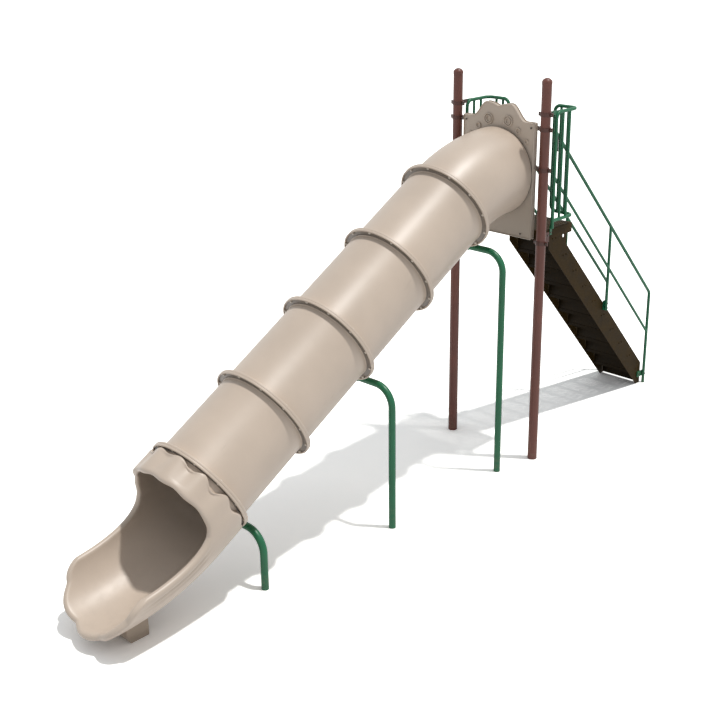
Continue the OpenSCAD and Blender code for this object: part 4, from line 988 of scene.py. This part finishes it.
class TUBESLIDE_OT_exit(PieceOperator, bpy.types.Operator):
    """The exit section: neck, fluted hood, open trough with a rolled rim and a scalloped lip"""
    bl_idname = "tube_slide.exit"
    bl_label = "Exit Section"

    def execute(self, context):
        s = sizes()
        low, top, steps = exit_columns()
        columns = low + top
        n_low, n_all = len(low), len(low) + len(top)
        edge_span = math.degrees(HALF_WALL / EXIT_MIDDLE)

        def wrap(a):
            return a - 360 if a > 180 else a

        def flute(u, a):
            over = between(abs(a), FLUTE_FROM, FLUTE_TO)
            return -s.flute_depth * bolt_wave(a) * over * (1 - FLUTE_LOSS * between(u, LOSS_FROM, LOSS_TO))

        def share(j, step):
            if j >= n_low:
                return round_in(step)
            return round_in(math.hypot(step, min(1.0, steps[j])))

        # Each rule gives a row's distance and radius at an angle
        r, g, w, bed = s.ring_radius, s.ring_groove, s.ring_width, s.ring_width - s.channel_depth
        ring = [(r - g + q[0], g + q[1]) for q in arc((0, 0), g, -90, 0, 2)]
        ring += arc((r - s.ring_round, w - s.ring_round), s.ring_round, 0, 90, 5)
        ring += [(s.channel_outer + 0.003, w), (s.channel_outer, w - 0.003), (s.channel_outer, bed),
                 (s.channel_inner, bed), (s.channel_inner, w - 0.002), (s.channel_inner - 0.002, w),
                 (NECK_RADIUS + 0.0018, w + 0.0018), (NECK_RADIUS, w + 0.003)]
        outer_rules = [lambda a, q=q: (q[1], q[0]) for q in ring]
        for place, radius in SHOULDER:
            fade = between(place, 0.0, SHOULDER_LENGTH)
            outer_rules.append(lambda a, p=place, q=radius, f=fade: (
                hood_edge(a) + p, q + flute(hood_edge(a), a) * f))

        def over_hood(a, t):
            u = (hood_edge(a) + SHOULDER_LENGTH) * (1 - t) + HOOD_FRONT * t
            return u, EXIT_OUT + flute(u, a)

        outer_rules += [lambda a, t=i / HOOD_ROWS: over_hood(a, t) for i in range(1, HOOD_ROWS)]
        bore = s.tube_radius - s.tube_wall
        inner_rules = [lambda a: (0.0, bore), lambda a: (NECK_LENGTH, bore)]
        for i in range(1, FLARE_ROWS + 1):
            t = i / FLARE_ROWS
            radius = bore + (EXIT_IN - bore) * (3 * t * t - 2 * t * t * t)
            inner_rules.append(lambda a, p=NECK_LENGTH + NECK_FLARE * t, q=radius: (p, q))

        bm = bmesh.new()

        def row(places):
            return [bm.verts.new(trough_point(u, a, radius)) for a, (u, radius) in zip(columns, places)]

        outer = [row([rule(wrap(a)) for a in columns]) for rule in outer_rules]
        inner = [row([rule(wrap(a)) for a in columns]) for rule in inner_rules]
        for e in range(EDGE_LAST, 0, -1):
            step = EDGE_STEPS[e]
            at = [brim(wrap(a)) - step * HALF_WALL for a in columns]
            outer.append(row([(at[j], EXIT_MIDDLE + (HALF_WALL + flute(BRIM, wrap(a))) * share(j, step))
                              for j, a in enumerate(columns)]))
            inner.append(row([(at[j], EXIT_MIDDLE - HALF_WALL * share(j, step)) for j in range(n_all)]))
        # The brim's own row: one vertex over the crown, two where the trough goes on
        brim_out = row([(brim(wrap(a)), EXIT_MIDDLE + HALF_WALL * share(j, 0.0))
                        for j, a in enumerate(columns)])
        brim_in = list(brim_out)
        for j in range(1, n_low - 1):
            brim_in[j] = bm.verts.new(trough_point(brim(columns[j]), columns[j],
                                                   EXIT_MIDDLE - HALF_WALL * share(j, 0.0)))
        outer.append(brim_out)
        inner.append(brim_in)

        last = TROUGH_ROWS + EDGE_LAST

        def open_u(i, a):
            if i <= TROUGH_ROWS:
                return brim(a) + (lip(a) - HALF_WALL - brim(a)) * i / TROUGH_ROWS
            return lip(a) - HALF_WALL * EDGE_STEPS[last - i]

        def open_angle(i, j):
            limit = rim(open_u(i, RIM_ANGLE))
            if steps[j] > 1:
                return columns[j] * (limit - edge_span) / (90 - edge_span)
            side = -1 if j <= EDGE_LAST else 1
            return side * (limit - steps[j] * edge_span)

        def open_share(i, j):
            return min(round_in(steps[j]), 1.0 if i <= TROUGH_ROWS else round_in(EDGE_STEPS[last - i]))

        open_out, open_in = [brim_out[:n_low]], [brim_in[:n_low]]
        for i in range(1, last + 1):
            out_row, in_row = [], []
            for j in range(n_low):
                a = open_angle(i, j)
                u, part = open_u(i, a), open_share(i, j)
                beads = rim_beads(columns[j]) * max(0.0, min(1.0, i / 8, (TROUGH_ROWS - i) / 12))
                vert = bm.verts.new(trough_point(u, a, EXIT_MIDDLE + HALF_WALL * part - beads))
                out_row.append(vert)
                shared = i == last or j in (0, n_low - 1)
                in_row.append(vert if shared else bm.verts.new(
                    trough_point(u, a, EXIT_MIDDLE - HALF_WALL * part)))
            open_out.append(out_row)
            open_in.append(in_row)

        def face(*corners):
            loop = [v for i, v in enumerate(corners) if v is not corners[i - 1]]
            if len(set(loop)) >= 3 and not bm.faces.get(loop):
                bm.faces.new(loop)

        def skin(rows, turned_round, columns_closed):
            for first, second in zip(rows, rows[1:]):
                for j in range(len(first) if columns_closed else len(first) - 1):
                    k = (j + 1) % len(first)
                    corners = (first[j], first[k], second[k], second[j])
                    face(*(reversed(corners) if turned_round else corners))

        skin(outer, False, True)
        skin(inner, True, True)
        skin([inner[0], outer[0]], False, True)
        skin(open_out, False, False)
        skin(open_in, True, False)
        put_bmesh("exit_hood_and_trough", bm, 50, "slide_plastic", "exit_section")
        return {"FINISHED"}


# DECK AND STAIRS

CORNER_SHARE = 1.2


def rounded_rectangle(low, high, inset, corner, z, steps=3):
    """A ring of points round a rectangle, with rounded corners."""
    x0, y0, x1, y1 = low[0] + inset, low[1] + inset, high[0] - inset, high[1] - inset
    r = max(corner - inset, 0.0008)
    points = arc((x1 - r, y1 - r), r, 0, 90, steps) + arc((x0 + r, y1 - r), r, 90, 180, steps)
    points += arc((x0 + r, y0 + r), r, 180, 270, steps) + arc((x1 - r, y0 + r), r, 270, 360, steps)
    return [(p[0], p[1], z) for p in points]


def tray(bm, low, high, fold, thick):
    """The folded sides of a plate that is turned down all round; its flat top is left out."""
    def ring(inset, z):
        return rounded_rectangle(low, high, inset, fold * CORNER_SHARE, z)

    rings = [ring(thick, low[2]), ring(0.0, low[2])]
    rings += [ring(inset, high[2] + rise) for inset, rise in rounded_edge(fold, 4)]
    rings += [ring(fold, high[2] - thick), ring(thick + 0.001, high[2] - thick - 0.003)]
    loft(bm, rings)


def add_mesh(bm, mesh, place):
    """Adds a mesh to a bmesh at a place."""
    before = len(bm.verts)
    bm.from_mesh(mesh)
    bm.verts.ensure_lookup_table()
    for vert in bm.verts[before:]:
        vert.co += Vector(place)


def perforated_tray(tree, name, low, high, fold, thick, margin):
    """A bmesh of a plate turned down all round, with rows of holes in its top."""
    s = sizes()
    width, depth = high[0] - low[0] - 2 * fold, high[1] - low[1] - 2 * fold
    top = tree.grow(name + "_top", "coated_steel", {
        "Width": width, "Depth": depth, "Thickness": thick, "Pitch": s.hole_pitch,
        "Hole Radius": s.hole_radius, "Margin": margin})
    bm = bmesh.new()
    tray(bm, low, high, fold, thick)
    add_mesh(bm, top, ((low[0] + high[0]) / 2, (low[1] + high[1]) / 2, high[2]))
    return bm


# Plate thickness, and the rounding of each kind of fold
PLATE, TREAD_FOLD, DECK_FOLD, TONGUE_FOLD, RISER_FOLD = 0.005, 0.007, 0.008, 0.004, 0.0015
TREAD_HALF, TREAD_DEPTH, TREAD_LIP, TREAD_MARGIN = 0.2287, 0.200, 0.038, 0.018
# Clearance round a riser, gap under the lowest one, and how far the stairs reach under the deck
FIT, KICK_GAP, TREAD_OVERLAP = 0.0003, 0.015, 0.054
DECK_HALF, DECK_FRONT, DECK_BACK, DECK_SKIRT, DECK_MARGIN = 0.490, 0.050, 0.500, 0.090, 0.030
TONGUE_HALF, TONGUE_FRONT, TONGUE_BACK = 0.430, 0.026, 0.056
TREAD_ZERO = POST_Y + DECK_BACK - TREAD_OVERLAP + TREAD_DEPTH / 2


class TUBESLIDE_OT_stairs(PieceOperator, bpy.types.Operator):
    """Ten perforated treads and the risers between them"""
    bl_idname = "tube_slide.stairs"
    bl_label = "Treads and Risers"

    def execute(self, context):
        tree = perforated_plate_tree()
        for k in range(1, TREADS + 1):
            y, z = TREAD_ZERO + (TREADS - k) * GOING, k * RISER
            bm = perforated_tray(tree, f"tread_{k}", (-TREAD_HALF, y - TREAD_DEPTH / 2, z - TREAD_LIP),
                                 (TREAD_HALF, y + TREAD_DEPTH / 2, z), TREAD_FOLD, PLATE, TREAD_MARGIN)
            # Treads and risers take the darker vinyl, which is painted shade
            put_bmesh(f"tread_{k}_plate", bm, 30, "coated_steel", f"tread_{k}", finish="coated_inner")
        half = TREAD_HALF - PLATE - FIT
        bm = bmesh.new()
        for k in range(TREADS + 1):
            y = TREAD_ZERO + (TREADS - k) * GOING - TREAD_DEPTH / 2
            low = k * RISER + FIT if k else KICK_GAP
            box_with_folds(bm, (-half, y, low), (half, y + PLATE, (k + 1) * RISER - PLATE - FIT), RISER_FOLD)
        put_bmesh("stair_risers_plates", bm, 30, "coated_steel", "stair_risers", finish="coated_inner")
        return {"FINISHED"}


class TUBESLIDE_OT_deck(PieceOperator, bpy.types.Operator):
    """The perforated deck with its folded skirt and front tongue"""
    bl_idname = "tube_slide.deck"
    bl_label = "Deck"

    def execute(self, context):
        bottom = DECK_HEIGHT - DECK_SKIRT
        bm = perforated_tray(perforated_plate_tree(), "deck", (-DECK_HALF, POST_Y + DECK_FRONT, bottom),
                             (DECK_HALF, POST_Y + DECK_BACK, DECK_HEIGHT), DECK_FOLD, PLATE, DECK_MARGIN)
        box_with_folds(bm, (-TONGUE_HALF, POST_Y + TONGUE_FRONT, bottom),
                       (TONGUE_HALF, POST_Y + TONGUE_BACK, DECK_HEIGHT), TONGUE_FOLD)
        put_bmesh("deck_plate", bm, 30, "coated_steel", "deck_platform")
        return {"FINISHED"}


# CAD NODES THAT STAY

class TUBESLIDE_OT_frame_finishes(PieceOperator, bpy.types.Operator):
    """Finishes for the posts, rails, clamps, legs and bolts that keep the frame's shapes"""
    bl_idname = "tube_slide.frame_finishes"
    bl_label = "Frame Finishes"

    def execute(self, context):
        for part in frame["record"]["subparts"]:
            obj = frame["nodes"][part["node"]]
            kind = part["material_slot"]
            if "clamps" in part["node"]:
                kind = "clamp"
            elif part["node"] == "tread_bolts":
                kind = "coated_steel"
            for place in obj.material_slots:
                place.material = finishes()[kind]
        return {"FINISHED"}


# STAGE

# The camera's place, its direction, height and roll in degrees, its lens and sensor width, and its shift
CAMERA_PLACE = Vector((6.536, -7.38005, 5.069))
CAMERA_TURN = (43.556, 19.495, -0.463)
CAMERA_LENS, CAMERA_SHIFT = (60.496, 36.0), (-0.0277, -0.0450)
SUN_TURN, SUN_HEIGHT = math.radians(36.0), math.radians(74.0)
SUN_COLOUR, SUN_STRENGTH, SUN_SOFTNESS = (1.0, 0.985, 0.96), 2.20, math.radians(2.5)
SKY_COLOUR, SKY_STRENGTH = (0.93, 0.96, 1.0, 1), 0.37
WHITE = (1, 1, 1, 1)
FLOOR_MATT, FLOOR_BRIGHT, FLOOR_GLOW = (0.85, 0.85, 0.85, 1), (1.60, 1.61, 1.57, 1), 0.22
SHADE_REACH, FLOOR_RADIUS, FAR = 1.5, 400, 1000


def camera_matrix():
    """The camera's turn from its direction, height and roll in degrees."""
    a, e, r = (math.radians(v) for v in CAMERA_TURN)
    back = Vector((math.sin(a) * math.cos(e), -math.cos(a) * math.cos(e), math.sin(e)))
    right = Vector((math.cos(a), math.sin(a), 0))
    up = back.cross(right)
    right, up = right * math.cos(r) + up * math.sin(r), up * math.cos(r) - right * math.sin(r)
    turned = Matrix((right, up, back)).transposed().to_4x4()
    return Matrix.Translation(CAMERA_PLACE) @ turned


class TUBESLIDE_OT_stage(PieceOperator, bpy.types.Operator):
    """White floor, high sun, pale sky and the camera"""
    bl_idname = "tube_slide.stage"
    bl_label = "Stage"

    def execute(self, context):
        scene = context.scene
        lens = bpy.data.cameras.new("camera")
        lens.lens, lens.sensor_width = CAMERA_LENS
        lens.shift_x, lens.shift_y = CAMERA_SHIFT
        lens.clip_end = FAR
        camera = bpy.data.objects.new("camera", lens)
        camera.matrix_world = camera_matrix()
        scene.collection.objects.link(camera)
        scene.camera = camera

        light = bpy.data.lights.new("sun", "SUN")
        light.energy, light.angle = SUN_STRENGTH, SUN_SOFTNESS
        light.color = SUN_COLOUR
        sun = bpy.data.objects.new("sun", light)
        level = math.cos(SUN_HEIGHT)
        toward = Vector((math.cos(SUN_TURN) * level, math.sin(SUN_TURN) * level, math.sin(SUN_HEIGHT)))
        sun.rotation_euler = toward.to_track_quat("Z", "Y").to_euler()
        scene.collection.objects.link(sun)

        scene.world = bpy.data.worlds.new("sky")
        scene.world.use_nodes = True
        sky = Nodes(scene.world.node_tree)
        dim = sky.node("Background", None, {"Color": SKY_COLOUR, "Strength": SKY_STRENGTH})
        white = sky.node("Background", None, {"Color": WHITE, "Strength": 1.0})
        seen = sky.ray("Camera", "Transmission", "Glossy")
        sky.output(sky.node("MixShader", None, {0: seen, 1: dim, 2: white}), "World")
        scene.view_settings.view_transform = "Standard"

        bm = bmesh.new()
        bmesh.ops.create_circle(bm, cap_ends=True, segments=64, radius=FLOOR_RADIUS)
        floor_mesh = bpy.data.meshes.new("floor")
        bm.to_mesh(floor_mesh)
        bm.free()
        floor = bpy.data.objects.new("floor", floor_mesh)
        scene.collection.objects.link(floor)
        f = Finish("floor_finish")
        matt = f.node("BsdfDiffuse", None, {"Color": FLOOR_MATT})
        bright = f.node("BsdfDiffuse", None, {"Color": FLOOR_BRIGHT})
        glow = f.node("Emission", None, {"Color": WHITE, "Strength": FLOOR_GLOW})
        # Seen straight: white in the sun, and shadows that deepen where the slide comes close to the floor
        near = f.node("AmbientOcclusion", {"samples": 8}, {"Distance": SHADE_REACH}, out="AO")
        lit = f.node("AddShader", None, {0: bright, 1: glow})
        seen = f.node("MixShader", None, {0: near, 1: matt, 2: lit})
        mirrored = f.node("AddShader", None, {0: matt, 1: glow})
        unseen = f.node("MixShader", None, {0: f.ray("Glossy"), 1: matt, 2: mirrored})
        f.output(f.node("MixShader", None, {0: f.ray("Camera", "Transmission"), 1: unseen, 2: seen}))
        floor_mesh.materials.append(f.material)
        return {"FINISHED"}


class TUBESLIDE_PT_panel(bpy.types.Panel):
    """Sidebar list of the slide's pieces, sizes and colours"""
    bl_idname = "TUBESLIDE_PT_panel"
    bl_label = "Tube Slide"
    bl_space_type = "VIEW_3D"
    bl_region_type = "UI"
    bl_category = "Tube Slide"

    def draw(self, context):
        for group in (sizes(), colours()):
            column = self.layout.column(align=True)
            for name in group.__annotations__:
                column.prop(group, name)
        for operator in OPERATORS:
            self.layout.operator(operator.bl_idname)


OPERATORS = (TUBESLIDE_OT_frame_finishes, TUBESLIDE_OT_sections, TUBESLIDE_OT_entrance,
             TUBESLIDE_OT_joint_bolts, TUBESLIDE_OT_panel, TUBESLIDE_OT_exit, TUBESLIDE_OT_stairs,
             TUBESLIDE_OT_deck, TUBESLIDE_OT_stage)
CLASSES = (TubeSlideSizes, TubeSlideColours, *OPERATORS, TUBESLIDE_PT_panel)


def register():
    for made in CLASSES:
        bpy.utils.register_class(made)
    bpy.types.Scene.tube_slide_sizes = PointerProperty(type=TubeSlideSizes)
    bpy.types.Scene.tube_slide_colours = PointerProperty(type=TubeSlideColours)


def unregister():
    del bpy.types.Scene.tube_slide_colours
    del bpy.types.Scene.tube_slide_sizes
    for made in reversed(CLASSES):
        bpy.utils.unregister_class(made)


def main():
    register()
    for operator in OPERATORS:
        getattr(bpy.ops.tube_slide, operator.bl_idname.split(".")[1])()


if __name__ == "__main__":
    main()
